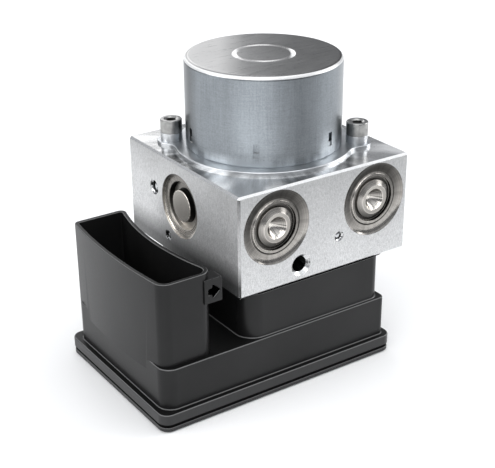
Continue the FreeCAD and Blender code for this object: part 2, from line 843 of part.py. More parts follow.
def pumps():
    """Plug, sleeve, piston and spring on each side of the eccentric."""
    for name, side in SIDES:
        plug_spot = (f"{side} * block_width / 2", "0", "pump_height")
        keep(turned("pump_plug_" + name, PLUG_SECTION, plug_spot, name), "pump_plug_" + name)
        sleeve_spot = (f"{side} * {SLEEVE_START}", "0", "pump_height")
        keep(turned("pump_sleeve_" + name, SLEEVE_SECTION, sleeve_spot, name), "pump_sleeve_" + name)
        piston_spot = (f"{side} * {PISTON_START}", "0", "pump_height")
        keep(turned("pump_piston_" + name, PUMP_PISTON_SECTION, piston_spot, name), "pump_piston_" + name)
        start = f"({PISTON_START} + pump_piston_length)"
        spring = coil_spring("pump_spring_" + name, "pump_spring_radius", "pump_spring_wire",
                             f"({PLUG_INSIDE} - {start})", "pump_spring_turns",
                             (f"{side} * {start}", "0", "pump_height"), name)
        keep(spring, "pump_spring_" + name)


# Solenoid valves: four inlet valves and four outlet valves under the block.

DOME_BORE = "(valve_dome - valve_dome_wall)"
CHAMBER_LOW = "(valve_dome_wall - valve_dome_length)"
CHAMBER_HIGH = f"({CHAMBER_LOW} + plunger_length + plunger_travel + 2 * plunger_end_gap)"

VALVE_SECTION = [
    ("valve_port", "valve_depth"),
    ("valve_port", CHAMBER_HIGH),
    (DOME_BORE, CHAMBER_HIGH),
    (DOME_BORE, CHAMBER_LOW),
    ("0", CHAMBER_LOW),
    ("0", "-1 * valve_dome_length"),
    ("valve_dome - valve_dome_round", "-1 * valve_dome_length", "valve_dome_round"),
    ("valve_dome", "valve_dome_round - valve_dome_length"),
    ("valve_dome", "-1 * valve_foot"),
    ("valve_collar", "-1 * valve_foot"),
    ("valve_collar", "valve_collar_depth"),
    ("valve_stem", "valve_collar_depth"),
    ("valve_stem", "valve_depth"),
]

PLUNGER_SECTION = [
    ("0", "0"),
    (f"{DOME_BORE} - plunger_clearance", "0"),
    (f"{DOME_BORE} - plunger_clearance", "plunger_length"),
    ("plunger_pin", "plunger_length"),
    ("plunger_pin", "plunger_length + plunger_pin_length"),
    ("0", "plunger_length + plunger_pin_length"),
]


def valves():
    """Valve cartridges and their plungers; inlets rest open and outlets rest closed."""
    for kind, rest in (("inlet", "plunger_end_gap"), ("outlet", "plunger_end_gap + plunger_travel")):
        cartridges = []
        for index, place in enumerate(VALVE_PLACES, start=1):
            across = f"{place} * valve_pitch"
            spot = (across, kind + "_row", "block_low")
            cartridges.append(turned(f"{kind}_valve_{index}", VALVE_SECTION, spot))
            plunger_spot = (across, kind + "_row", f"block_low + {CHAMBER_LOW} + {rest}")
            plunger = turned(f"{kind}_plunger_{index}", PLUNGER_SECTION, plunger_spot)
            keep(plunger, f"{kind}_plunger_{index}")
        group(cartridges, kind + "_valves")


def coil_pack():
    """Eight coils with their yoke plates and the leads that reach the circuit board."""
    body = new_body("coil_pack")
    hole = "valve_dome + coil_gap"
    plates = ("coil_low", "coil_low + coil_height - coil_plate")
    winding = sketch_on(body, "XY_Plane", "Windings", away="coil_low + coil_plate")
    for across, along in COIL_SPOTS:
        circle(winding, across, along, "coil_radius")
        circle(winding, across, along, hole)
    pad(body, winding, "coil_height - 2 * coil_plate")
    for height in plates:
        yoke = sketch_on(body, "XY_Plane", "Yoke_plates", away=height)
        for across, along in COIL_SPOTS:
            square(yoke, across, along, "coil_plate_half", "coil_plate_half")
            circle(yoke, across, along, hole)
        pad(body, yoke, "coil_plate")
    leads = sketch_on(body, "XY_Plane", "Leads", away="coil_low")
    for across, along in COIL_SPOTS:
        for side in ("-1", "1"):
            circle(leads, f"{across} + {side} * coil_lead_spread", f"{along} + coil_lead_spread",
                   "coil_lead")
    pad(body, leads, f"coil_low - {BOARD_TOP}", down=True)
    return keep(body, "coil_pack")


def square(sketch, across, along, half_across, half_along):
    """Add a rectangle about a point."""
    return outline(sketch, [
        (f"{across} - ({half_across})", f"{along} - ({half_along})"),
        (f"{across} + ({half_across})", f"{along} - ({half_along})"),
        (f"{across} + ({half_across})", f"{along} + ({half_along})"),
        (f"{across} - ({half_across})", f"{along} + ({half_along})")])


BOARD_TOP = "(board_low + board_thickness)"
COIL_SPOTS = [(f"{place} * valve_pitch", row + "_row")
              for row in ("inlet", "outlet") for place in VALVE_PLACES]


# Pump motor.

PLATE_TOP = f"({BLOCK_TOP} + plate_thickness)"
CAN_BORE = "(motor_radius - motor_wall)"
MOTOR_TOP = f"({BLOCK_TOP} + motor_height)"
CAN_ROOF = f"({MOTOR_TOP} - motor_wall)"
LANCE_LOW = f"({PLATE_TOP} + lance_rise)"
SHAFT_TOP = f"({CAN_ROOF} - shaft_end_gap)"
CORE_LOW = f"({BLOCK_TOP} + core_rise)"
COMMUTATOR_LOW = f"({BLOCK_TOP} + commutator_rise)"
BEARING_FLOOR = f"({BLOCK_TOP} - bearing_height)"
BEARING_MIDDLE = f"({BLOCK_TOP} - bearing_height / 2)"
BALL_SEAT = "(bearing_ball + bearing_play)"
OUTER_RACE = f"sqrt({BALL_SEAT}^2 - (bearing_outer_bore - bearing_pitch)^2)"
INNER_RACE = f"sqrt({BALL_SEAT}^2 - (bearing_pitch - bearing_inner_rim)^2)"
SHAFT_NECK = "(shaft_radius - 0.5)"

CAN_SECTION = [
    (CAN_BORE, PLATE_TOP),
    ("motor_radius", PLATE_TOP),
    ("motor_radius", f"{MOTOR_TOP} - motor_top_round", "motor_top_round"),
    ("motor_radius - motor_top_round", MOTOR_TOP),
    ("bead_outer", MOTOR_TOP),
    ("bead_outer - bead_depth", f"{MOTOR_TOP} - bead_depth"),
    ("bead_inner + bead_depth", f"{MOTOR_TOP} - bead_depth"),
    ("bead_inner", MOTOR_TOP),
    ("0", MOTOR_TOP),
    ("0", CAN_ROOF),
    ("top_bearing_radius", CAN_ROOF),
    ("top_bearing_radius", f"{CAN_ROOF} - top_bearing_height"),
    ("top_bearing_radius + bearing_seat_wall", f"{CAN_ROOF} - top_bearing_height"),
    ("top_bearing_radius + bearing_seat_wall", CAN_ROOF),
    (f"{CAN_BORE} - motor_top_round / 2", CAN_ROOF, "-1 * motor_top_round / 2"),
    (CAN_BORE, f"{CAN_ROOF} - motor_top_round / 2"),
]

SHAFT_SECTION = [
    ("0", "shaft_low"),
    (SHAFT_NECK, "shaft_low"),
    (SHAFT_NECK, BEARING_FLOOR),
    ("shaft_shoulder", BEARING_FLOOR),
    ("shaft_shoulder", f"{BLOCK_TOP} + shaft_collar"),
    ("shaft_radius", f"{BLOCK_TOP} + shaft_collar"),
    ("shaft_radius", SHAFT_TOP),
    ("0", SHAFT_TOP),
]

OUTER_RING_SECTION = [
    ("bearing_outer_bore", BEARING_FLOOR),
    ("bearing_outer", BEARING_FLOOR),
    ("bearing_outer", BLOCK_TOP),
    ("bearing_outer_bore", BLOCK_TOP),
    ("bearing_outer_bore", f"{BEARING_MIDDLE} + {OUTER_RACE}", f"-1 * {BALL_SEAT}"),
    ("bearing_outer_bore", f"{BEARING_MIDDLE} - {OUTER_RACE}"),
]

INNER_RING_SECTION = [
    ("shaft_shoulder + seat_clearance", BEARING_FLOOR),
    ("bearing_inner_rim", BEARING_FLOOR),
    ("bearing_inner_rim", f"{BEARING_MIDDLE} - {INNER_RACE}", f"-1 * {BALL_SEAT}"),
    ("bearing_inner_rim", f"{BEARING_MIDDLE} + {INNER_RACE}"),
    ("bearing_inner_rim", BLOCK_TOP),
    ("shaft_shoulder + seat_clearance", BLOCK_TOP),
]


def ring_section(inner, outer, low, high):
    """Half section of a plain ring."""
    return [(inner, low), (outer, low), (outer, high), (inner, high)]


def motor_can():
    """Deep drawn steel can with a ring bead on top and lanced tabs near its mouth."""
    body = turned("motor_can", CAN_SECTION)
    clear = "1"
    low_half = sketch_on(body, "XZ_Plane", "Tab_recess", away=f"motor_radius + {clear}")
    window(low_half, LANCE_LOW, f"{LANCE_LOW} + lance_height", "lance_width")
    around(body, pocket(body, low_half, f"{clear} + lance_recess"), "lance_count")
    slot = sketch_on(body, "XZ_Plane", "Tab_slot", away=f"motor_radius + {clear}")
    window(slot, f"{LANCE_LOW} + lance_height / 2", f"{LANCE_LOW} + lance_height - lance_recess",
           "lance_width - 2 * lance_recess")
    around(body, pocket(body, slot, f"{clear} + motor_wall + 1"), "lance_count")
    body.Placement.Rotation = FreeCAD.Rotation(FreeCAD.Vector(0, 0, 1), number("lance_turn"))
    return keep(body, "motor_can")


def window(sketch, low, high, width):
    """Add a rectangle that stands on the sketch's upright axis."""
    return outline(sketch, [(f"-1 * ({width}) / 2", low), (f"({width}) / 2", low),
                            (f"({width}) / 2", high), (f"-1 * ({width}) / 2", high)])


SCREW_SPOTS = (("-1 * screw_across", "screw_along"), ("screw_across", "-1 * screw_along"))


def motor_plate():
    """Steel end plate under the can, with an ear and a raised boss at each screw."""
    body = new_body("motor_plate")
    disc = circle(sketch_on(body, "XY_Plane", "Disc", away=BLOCK_TOP), "0", "0", "plate_radius")
    pad(body, disc, "plate_thickness")
    ears = sketch_on(body, "XY_Plane", "Ears", away=BLOCK_TOP)
    for across, along in SCREW_SPOTS:
        circle(ears, across, along, "ear_radius")
    pad(body, ears, "plate_thickness")
    spots = [FreeCAD.Vector(number(across), number(along), 0) for across, along in SCREW_SPOTS]
    disc_radius, ear_radius = number("plate_radius"), number("ear_radius")

    def at_root(edge):
        box = edge.BoundBox
        place = FreeCAD.Vector(box.XMin, box.YMin, 0)
        near = min(place.distanceToPoint(spot) for spot in spots)
        thin = box.XLength < 0.01 and box.YLength < 0.01
        return thin and abs(place.Length - disc_radius) < 0.01 and abs(near - ear_radius) < 0.01

    dress(body, "Fillet", at_root, "ear_round")
    bosses = sketch_on(body, "XY_Plane", "Bosses", away=BLOCK_TOP)
    for across, along in SCREW_SPOTS:
        circle(bosses, across, along, "boss_radius")
    pad(body, bosses, "boss_height")
    foot, boss_radius = number(PLATE_TOP), number("boss_radius")

    def at_foot(edge):
        return level(edge, foot) and abs(edge.BoundBox.XLength - 2 * boss_radius) < 0.01

    dress(body, "Fillet", at_foot, "boss_round")
    holes = sketch_on(body, "XY_Plane", "Holes", away=f"{BLOCK_TOP} + boss_height")
    for across, along in SCREW_SPOTS:
        circle(holes, across, along, "motor_screw_bore + seat_clearance")
    circle(holes, "0", "0", "bearing_outer - plate_lip")
    circle(holes, "0", "lead_along", "lead_radius + seat_clearance")
    pocket(body, holes, "boss_height")
    return keep(body, "motor_plate")


def screw(label, head, height, shank, grip, socket, socket_depth):
    """Socket head screw: the head stands above its own origin and the shank reaches below."""
    bevel = "screw_bevel"
    body = turned(label, [
        ("0", f"-1 * ({grip})"), (f"{shank} - {bevel}", f"-1 * ({grip})"), (shank, f"{bevel} - ({grip})"),
        (shank, "0"), (head, "0"), (head, f"{height} - {bevel}"), (f"{head} - {bevel}", height),
        ("0", height)])
    corners = [(f"{socket} * cos({60 * step} * 1deg)", f"{socket} * sin({60 * step} * 1deg)")
               for step in range(6)]
    hexagon = sketch_on(body, "XY_Plane", "Socket", away=height)
    outline(hexagon, corners)
    pocket(body, hexagon, socket_depth)
    return body


def motor_screws():
    """Two long screws through the end plate into the block."""
    screws = []
    for across, along in SCREW_SPOTS:
        body = screw("motor_screw", "motor_screw_head", "motor_screw_head_height", "motor_screw_bore",
                     "boss_height + motor_screw_bite", "motor_screw_socket", "motor_screw_socket_depth")
        screws.append(stand(body, (across, along, f"{BLOCK_TOP} + boss_height"), "up"))
    return group(screws, "motor_screws")


def motor_seal():
    """Rubber ring in the block's groove under the end plate."""
    ring = doc.addObject("Part::Torus", "Motor_ring")
    bind(ring, Radius1="ring_radius", Radius2="motor_ring_section", Z=f"{BLOCK_TOP} - motor_ring_section")
    return keep(ring, "motor_seal")


def shaft_and_bearings():
    """Shaft with its eccentric, the ball bearing in the block and the bush in the can's roof."""
    shaft = turned("motor_shaft", SHAFT_SECTION)
    lobe = sketch_on(shaft, "XY_Plane", "Eccentric", away="pump_height - eccentric_height / 2")
    circle(lobe, "0", "eccentric_offset", "eccentric_radius")
    pad(shaft, lobe, "eccentric_height")
    keep(shaft, "motor_shaft")
    inner = "eccentric_radius + running_clearance"
    low, high = ("-1 * eccentric_height / 2 + ring_end_gap", "eccentric_height / 2 - ring_end_gap")
    ring = turned("eccentric_ring", ring_section(inner, "eccentric_ring_radius", low, high),
                  ("0", "eccentric_offset", "pump_height"))
    keep(ring, "eccentric_ring")
    keep(turned("bearing_outer_ring", OUTER_RING_SECTION), "bearing_outer_ring")
    keep(turned("bearing_inner_ring", INNER_RING_SECTION), "bearing_inner_ring")
    bush = ring_section("shaft_radius + running_clearance", "top_bearing_radius - seat_clearance",
                        f"{CAN_ROOF} - top_bearing_height", CAN_ROOF)
    keep(turned("top_bearing", bush), "top_bearing")
    ball_race()


def ball_race():
    """Balls of the lower bearing and the cage that spaces them."""
    balls = []
    for index in range(int(number("bearing_balls"))):
        angle = f"({index} * 360deg / bearing_balls)"
        ball = doc.addObject("Part::Sphere", "Ball")
        bind(ball, Radius="bearing_ball", X=f"bearing_pitch * cos({angle})",
             Y=f"bearing_pitch * sin({angle})", Z=BEARING_MIDDLE)
        balls.append(ball)
    group(balls, "bearing_balls")
    cage = turned("bearing_cage", ring_section(
        "bearing_pitch - cage_half", "bearing_pitch + cage_half",
        f"{BEARING_MIDDLE} - cage_height / 2", f"{BEARING_MIDDLE} + cage_height / 2"))
    seat = circle(sketch_on(cage, "YZ_Plane", "Ball_pocket"), "0", BEARING_MIDDLE, BALL_SEAT)
    around(cage, pocket(cage, seat, "bearing_outer", along=True), "bearing_balls")
    keep(cage, "bearing_cage")


def armature():
    """Slotted core, its windings and the commutator."""
    core = new_body("armature_core")
    stack = sketch_on(core, "XY_Plane", "Stack", away=CORE_LOW)
    circle(stack, "0", "0", "core_radius")
    circle(stack, "0", "0", "shaft_radius + seat_clearance")
    pad(core, stack, "core_height")
    tip = "core_radius - tooth_tip"
    slot = sketch_on(core, "XY_Plane", "Slot", away=f"{CORE_LOW} + core_height")
    outline(slot, [
        ("slot_floor", "-1 * slot_width / 2"), (tip, "-1 * slot_width / 2"), (tip, "-1 * tooth_gap / 2"),
        ("core_radius + 1", "-1 * tooth_gap / 2"), ("core_radius + 1", "tooth_gap / 2"),
        (tip, "tooth_gap / 2"), (tip, "slot_width / 2"), ("slot_floor", "slot_width / 2")])
    around(core, pocket(core, slot, "core_height"), "core_slots")
    keep(core, "armature_core")

    wire = new_body("armature_winding")
    for low in (f"{CORE_LOW} - winding_overhang", f"{CORE_LOW} + core_height + winding_gap"):
        ends = sketch_on(wire, "XY_Plane", "Winding_end", away=low)
        circle(ends, "0", "0", "winding_outer")
        circle(ends, "0", "0", "winding_inner")
        pad(wire, ends, "winding_overhang - winding_gap")
    bar = sketch_on(wire, "XY_Plane", "Winding_bar", away=f"{CORE_LOW} - winding_gap")
    inside = "slot_floor + winding_gap"
    outline(bar, [
        (inside, "-1 * winding_width / 2"), ("winding_outer", "-1 * winding_width / 2"),
        ("winding_outer", "winding_width / 2"), (inside, "winding_width / 2")])
    around(wire, pad(wire, bar, "core_height + 2 * winding_gap"), "core_slots")
    keep(wire, "armature_winding")

    top = f"{COMMUTATOR_LOW} + commutator_height"
    drum = turned("commutator", ring_section("shaft_radius + seat_clearance", "commutator_radius",
                                             COMMUTATOR_LOW, top))
    slit = sketch_on(drum, "XY_Plane", "Slit", away=top)
    outline(slit, [
        ("commutator_radius - commutator_slit_depth", "-1 * commutator_slit / 2"),
        ("commutator_radius + 1", "-1 * commutator_slit / 2"),
        ("commutator_radius + 1", "commutator_slit / 2"),
        ("commutator_radius - commutator_slit_depth", "commutator_slit / 2")])
    around(drum, pocket(drum, slit, "commutator_height"), "core_slots")
    keep(drum, "commutator")


def magnets():
    """Four curved magnets against the can's wall."""
    pieces = []
    for index in range(4):
        shells = []
        for radius in (f"{CAN_BORE} - seat_clearance", f"{CAN_BORE} - seat_clearance - magnet_thickness"):
            shell = doc.addObject("Part::Cylinder", "Magnet_sector")
            turn = 45 + 90 * index - number("magnet_span") / 2
            shell.Placement.Rotation = FreeCAD.Rotation(FreeCAD.Vector(0, 0, 1), turn)
            bind(shell, Radius=radius, Height="magnet_height", Angle="magnet_span",
                 Z=f"{BLOCK_TOP} + magnet_rise")
            shells.append(shell)
        piece = doc.addObject("Part::Cut", "Magnet")
        piece.Base, piece.Tool = shells
        pieces.append(piece)
    return group(pieces, "magnets")


BOX_FLOOR = f"({PLATE_TOP} + holder_thickness + box_floor)"
BRUSH_START = "(commutator_radius + brush_gap)"
BRUSH_END = f"({BRUSH_START} + brush_length)"


def brush_gear():
    """Brush holder with two boxes, and a sprung brush in each."""
    body = new_body("brush_holder")
    plate = sketch_on(body, "XY_Plane", "Holder", away=PLATE_TOP)
    circle(plate, "0", "0", "holder_radius")
    circle(plate, "0", "0", "holder_bore")
    pad(body, plate, "holder_thickness")
    boxes = sketch_on(body, "XY_Plane", "Boxes", away=f"{PLATE_TOP} + holder_thickness")
    middle = "(box_start + box_end) / 2"
    for _, side in SIDES:
        square(boxes, f"{side} * {middle}", "0", "(box_end - box_start) / 2", "box_width / 2")
    pad(body, boxes, "box_height")
    channels = sketch_on(body, "XY_Plane", "Channels", away=BOX_FLOOR)
    for _, side in SIDES:
        square(channels, f"{side} * ({middle} - box_end_wall)", "0", "(box_end - box_start) / 2",
               "(brush_width / 2 + brush_slack)")
    pocket(body, channels, "brush_height + 2 * brush_slack", along=True)
    keep(body, "brush_holder")
    for name, side in SIDES:
        brush = new_body("brush_" + name)
        block = sketch_on(brush, "XY_Plane", "Brush", away=f"{BOX_FLOOR} + brush_slack")
        square(block, f"{side} * ({BRUSH_START} + brush_length / 2)", "0",
               "brush_length / 2", "brush_width / 2")
        pad(brush, block, "brush_height")
        keep(brush, "brush_" + name)
        height = f"{BOX_FLOOR} + brush_slack + brush_height / 2"
        spring = coil_spring("brush_spring_" + name, "brush_spring_radius", "brush_spring_wire",
                             f"(box_end - box_end_wall - {BRUSH_END})", "brush_spring_turns",
                             (f"{side} * {BRUSH_END}", "0", height), name)
        keep(spring, "brush_spring_" + name)


def motor_lead():
    """Plastic lead tube from the brush holder to the circuit board, with its two pins."""
    tube = new_body("motor_lead")
    section = sketch_on(tube, "XY_Plane", "Tube", away="lead_low")
    circle(section, "0", "lead_along", "lead_radius")
    for side in ("-1", "1"):
        circle(section, f"{side} * lead_pin_spread", "lead_along", "lead_pin + seat_clearance")
    pad(tube, section, f"{PLATE_TOP} - lead_low")
    keep(tube, "motor_lead")
    pins = []
    for side in ("-1", "1"):
        pin = doc.addObject("Part::Cylinder", "Lead_pin")
        pins.append(bind(pin, Radius="lead_pin", Height=f"{PLATE_TOP} - {BOARD_TOP}",
                         X=f"{side} * lead_pin_spread", Y="lead_along", Z=BOARD_TOP))
    group(pins, "motor_pins")


# Electronic control unit.

FLANGE_LOW = "(cover_thickness + seam_gap)"
FLANGE_TOP = f"({FLANGE_LOW} + flange_height)"
LEDGE = f"({FLANGE_TOP} + body_height)"
CEILING = f"({LEDGE} - housing_wall)"
SOCKET_MIDDLE_X = "((socket_left + socket_right) / 2)"


def inset_box(sketch, inset, kind="flange"):
    """Rounded outline of the flange or of the body, moved inwards."""
    reach = "flange_overhang" if kind == "flange" else "0"
    left_round = "flange_round" if kind == "flange" else "body_round"
    right_round = "flange_round" if kind == "flange" else "body_right_round"
    return rounded_box(
        sketch, f"body_left - {reach} + {inset}", f"body_right + {reach} - ({inset})",
        f"body_front - {reach} + {inset}", f"body_back + {reach} - ({inset})",
        f"max({left_round} - ({inset}); 1)", f"max({right_round} - ({inset}); 1)")


def socket_outline(sketch, inset):
    """Outline of the plug socket: its long walls are two wide arcs that bow the same way."""
    step = number(inset)
    middle = number("socket_middle")
    outer_bow, inner_bow = number("socket_outer_bow") - step, number("socket_inner_bow") + step
    corner = number("socket_corner") - step
    outer = (number("socket_left") + step + outer_bow, middle)
    inner = (number("socket_right") - step + inner_bow, middle)
    low, high = number("socket_front") + step, number("socket_back") - step
    spots = []
    for y in (low + corner, high - corner):
        rise = y - middle
        spots.append((outer[0] - math.sqrt((outer_bow - corner) ** 2 - rise ** 2), y))
        spots.append((inner[0] - math.sqrt((inner_bow + corner) ** 2 - rise ** 2), y))
    front_left, front_right, back_left, back_right = spots

    def towards(start, end):
        return math.degrees(math.atan2(end[1] - start[1], end[0] - start[0]))

    front = line_between(sketch, (front_left[0], low), (front_right[0], low))
    corner_fr = arc_between(sketch, front_right, corner, -90, towards(front_right, inner))
    wall_in = arc_between(sketch, inner, inner_bow,
                          towards(inner, back_right), towards(inner, front_right) + 360)
    corner_br = arc_between(sketch, back_right, corner, towards(back_right, inner), 90)
    back = line_between(sketch, (back_right[0], high), (back_left[0], high))
    corner_bl = arc_between(sketch, back_left, corner, 90, towards(outer, back_left))
    wall_out = arc_between(sketch, outer, outer_bow,
                           towards(outer, back_left), towards(outer, front_left) + 360)
    corner_fl = arc_between(sketch, front_left, corner, towards(outer, front_left) + 360, 270)
    chain = [(front, 1, 2), (corner_fr, 1, 2), (wall_in, 2, 1), (corner_br, 1, 2),
             (back, 1, 2), (corner_bl, 1, 2), (wall_out, 1, 2), (corner_fl, 1, 2)]
    for place, (item, first, last) in enumerate(chain):
        following = chain[(place + 1) % len(chain)]
        sketch.addConstraint(Sketcher.Constraint("Tangent", item, last, following[0], following[1]))
    for item in (front, back):
        sketch.addConstraint(Sketcher.Constraint("Horizontal", item))
    fix(sketch, "DistanceY", (-1, 1, front, 1), f"socket_front + ({inset})")
    fix(sketch, "DistanceY", (-1, 1, back, 1), f"socket_back - ({inset})")
    for item in (corner_fr, corner_br, corner_bl, corner_fl):
        fix(sketch, "Radius", (item,), f"socket_corner - ({inset})")
    fix(sketch, "Radius", (wall_out,), f"socket_outer_bow - ({inset})")
    fix(sketch, "Radius", (wall_in,), f"socket_inner_bow + ({inset})")
    fix_point(sketch, wall_out, 3, "socket_left + socket_outer_bow", "socket_middle")
    fix_point(sketch, wall_in, 3, "socket_right + socket_inner_bow", "socket_middle")
    return sketch


def loft(body, first, second):
    """Blend one outline into another above it."""
    feature = body.newObject("PartDesign::AdditiveLoft", "Blend")
    feature.Profile = first
    feature.Sections = [second]
    feature.Ruled = True
    return feature


def neck_outline(sketch, inset="0", reach="0"):
    """Outline of the neck between the ledge and the block."""
    return rounded_box(sketch, f"neck_left + {inset}", f"neck_right - {inset} + {reach}",
                       f"neck_front + {inset}", f"neck_back - {inset}",
                       f"max(neck_left_round - {inset}; 1)", f"max(neck_right_round - {inset}; 1)")


def ecu_housing():
    """Moulded housing: flange, body, neck and plug socket in one shell."""
    body = new_body("ecu_housing")
    pad(body, inset_box(sketch_on(body, "XY_Plane", "Flange", away=FLANGE_LOW), "0"), "flange_height")
    dress(body, "Fillet", lambda edge: level(edge, number(FLANGE_TOP)), "flange_edge_round")
    pad(body, inset_box(sketch_on(body, "XY_Plane", "Body", away=FLANGE_TOP), "0", "body"), "body_height")
    dress(body, "Fillet", lambda edge: level(edge, number(LEDGE)), "ledge_edge_round")
    add_neck(body)
    add_socket(body)
    hollow(body)
    add_posts(body)
    return keep(body, "ecu_housing")


def add_neck(body):
    """Raise the neck with the lip that carries the gasket."""
    start = f"({LEDGE} - ledge_edge_round)"
    lip = f"({NECK_TOP} - neck_rim)"
    pad(body, neck_outline(sketch_on(body, "XY_Plane", "Neck", away=start)), f"{NECK_TOP} - {start}")
    lower = neck_outline(sketch_on(body, "XY_Plane", "Lip_low", away=lip))
    upper = neck_outline(sketch_on(body, "XY_Plane", "Lip_high", away=f"{lip} + neck_rim / 2"),
                         reach="neck_rim_reach")
    loft(body, lower, upper)
    rim = neck_outline(sketch_on(body, "XY_Plane", "Lip_edge", away=f"{lip} + neck_rim / 2"),
                       reach="neck_rim_reach")
    pad(body, rim, "neck_rim / 2")


def add_socket(body):
    """Raise the plug socket with its tapered root and the latch lug at its front corner."""
    root = "(socket_root - socket_taper)"
    lower = socket_outline(sketch_on(body, "XY_Plane", "Root_low", away=root), "socket_taper_inset")
    upper = socket_outline(sketch_on(body, "XY_Plane", "Root_high", away="socket_root"), "0")
    loft(body, lower, upper)
    walls = socket_outline(sketch_on(body, "XY_Plane", "Socket_walls", away="socket_root"), "0")
    pad(body, walls, "socket_rim - socket_root")
    lug_low = "(socket_rim - lug_top_drop - lug_height)"
    lug_right = "(socket_right + lug_reach)"
    front = "(socket_front + lug_front_gap)"
    lug = sketch_on(body, "XY_Plane", "Lug", away=lug_low)
    outline(lug, [(f"socket_right - lug_root", front), (lug_right, front),
                  (lug_right, f"{front} + lug_depth"), ("socket_right - lug_root", f"{front} + lug_depth")])
    pad(body, lug, "lug_height")
    notch = sketch_on(body, "XZ_Plane", "Lug_notch", away=f"-1 * {front}")
    tip = f"({lug_right} - lug_notch_tip)"
    middle = f"({lug_low} + lug_height / 2)"
    outline(notch, [(f"{tip} - lug_notch_long", f"{middle} - lug_notch_half"), (tip, middle),
                    (f"{tip} - lug_notch_long", f"{middle} + lug_notch_half")])
    pocket(body, notch, "lug_notch_depth")


def hollow(body):
    """Hollow the body from below, the neck right through, and the socket from above."""
    cavity = inset_box(sketch_on(body, "XY_Plane", "Cavity", away=FLANGE_LOW), "housing_wall", "body")
    pocket(body, cavity, f"{CEILING} - {FLANGE_LOW}", along=True)
    shaft = neck_outline(sketch_on(body, "XY_Plane", "Neck_bore", away=NECK_TOP), "housing_wall")
    pocket(body, shaft, f"{NECK_TOP} - {CEILING} + 1")
    well = socket_outline(sketch_on(body, "XY_Plane", "Socket_well", away="socket_rim"), "socket_wall")
    pocket(body, well, "socket_rim - socket_floor")
    keys = sketch_on(body, "XY_Plane", "Keys", away="socket_floor")
    for side in ("-1", "1"):
        square(keys, "socket_left + socket_wall + key_reach / 2", f"socket_middle + {side} * key_spread",
               "key_reach", "key_width / 2")
    pad(body, keys, "socket_rim - key_drop - socket_floor")
    slot = sketch_on(body, "XY_Plane", "Header_slot", away="socket_floor")
    square(slot, SOCKET_MIDDLE_X, "socket_middle", "header_width / 2", "header_length / 2")
    pocket(body, slot, f"socket_floor - {CEILING} + 1")


BOARD_POSTS = [(across, along) for across in ("board_post_left", "board_post_middle", "board_post_right")
               for along in ("board_post_front", "board_post_back")]


def add_posts(body):
    """Add the posts that carry the circuit board and the four screw posts of the neck."""
    posts = sketch_on(body, "XY_Plane", "Board_posts", away=BOARD_TOP)
    for across, along in BOARD_POSTS:
        circle(posts, across, along, "post_radius")
    pad(body, posts, f"{CEILING} - {BOARD_TOP} + 1")
    seats = sketch_on(body, "XY_Plane", "Screw_posts", away=f"{NECK_TOP} - house_screw_grip")
    for across, along in HOUSE_SCREWS:
        circle(seats, across, along, "house_post")
    pad(body, seats, "house_screw_grip")
    holes = sketch_on(body, "XY_Plane", "Screw_holes", away=NECK_TOP)
    for across, along in HOUSE_SCREWS:
        circle(holes, across, along, "house_screw_bore + seat_clearance")
    pocket(body, holes, "house_screw_grip")


def housing_gasket():
    """Gasket between the neck and the block."""
    body = new_body("housing_gasket")
    sheet_outline = sketch_on(body, "XY_Plane", "Gasket", away=NECK_TOP)
    neck_outline(sheet_outline, "gasket_inset", "neck_rim_reach")
    neck_outline(sheet_outline, "(housing_wall - gasket_inset)")
    pad(body, sheet_outline, "gasket_thickness")
    return keep(body, "housing_gasket")


def housing_screws():
    """Four screws driven up from inside the housing into the block."""
    screws = []
    for across, along in HOUSE_SCREWS:
        body = screw("housing_screw", "house_screw_head", "house_screw_head_height", "house_screw_bore",
                     "house_screw_grip + gasket_thickness + house_screw_bite", "house_screw_bore", "1.6")
        flip = FreeCAD.Rotation(FreeCAD.Vector(1, 0, 0), 180)
        body.Placement = FreeCAD.Placement(FreeCAD.Vector(), flip)
        screws.append(bind(body, X=across, Y=along, Z=f"{NECK_TOP} - house_screw_grip"))
    return group(screws, "housing_screws")


def ecu_cover():
    """Bottom cover with a locating rib that stands inside the housing."""
    body = new_body("ecu_cover")
    pad(body, inset_box(sketch_on(body, "XY_Plane", "Cover"), "cover_inset"), "cover_thickness")
    dress(body, "Fillet", lambda edge: level(edge, 0), "cover_edge_round")
    rib = sketch_on(body, "XY_Plane", "Rib", away="cover_thickness")
    inset_box(rib, "(housing_wall + rib_clearance)", "body")
    inset_box(rib, "(housing_wall + rib_clearance + cover_rib_wall)", "body")
    pad(body, rib, "cover_rib_height")
    return keep(body, "ecu_cover")


def cover_seal():
    """Bead of sealant in the seam between cover and flange."""
    body = new_body("cover_seal")
    bead = sketch_on(body, "XY_Plane", "Bead", away="cover_thickness")
    inset_box(bead, "seal_inset")
    inset_box(bead, "(seal_inset + seal_width)")
    pad(body, bead, "seam_gap")
    return keep(body, "cover_seal")


def circuit_board():
    """Board with its controller chip and capacitors."""
    body = new_body("circuit_board")
    inset = "(housing_wall + board_clearance)"
    pad(body, inset_box(sketch_on(body, "XY_Plane", "Board", away="board_low"), inset, "body"),
        "board_thickness")
    keep(body, "circuit_board")
    parts = new_body("board_parts")
    chip = sketch_on(parts, "XY_Plane", "Chip", away="board_low")
    square(chip, "0", "(inlet_row + outlet_row) / 2", "chip_width / 2", "chip_width / 2")
    pad(parts, chip, "chip_height", down=True)
    cans = sketch_on(parts, "XY_Plane", "Capacitors", away=BOARD_TOP)
    for place in ("-1", "0", "1"):
        circle(cans, "capacitor_across", f"{place} * 2.4 * capacitor_radius", "capacitor_radius")
    pad(parts, cans, "capacitor_height")
    keep(parts, "board_parts")


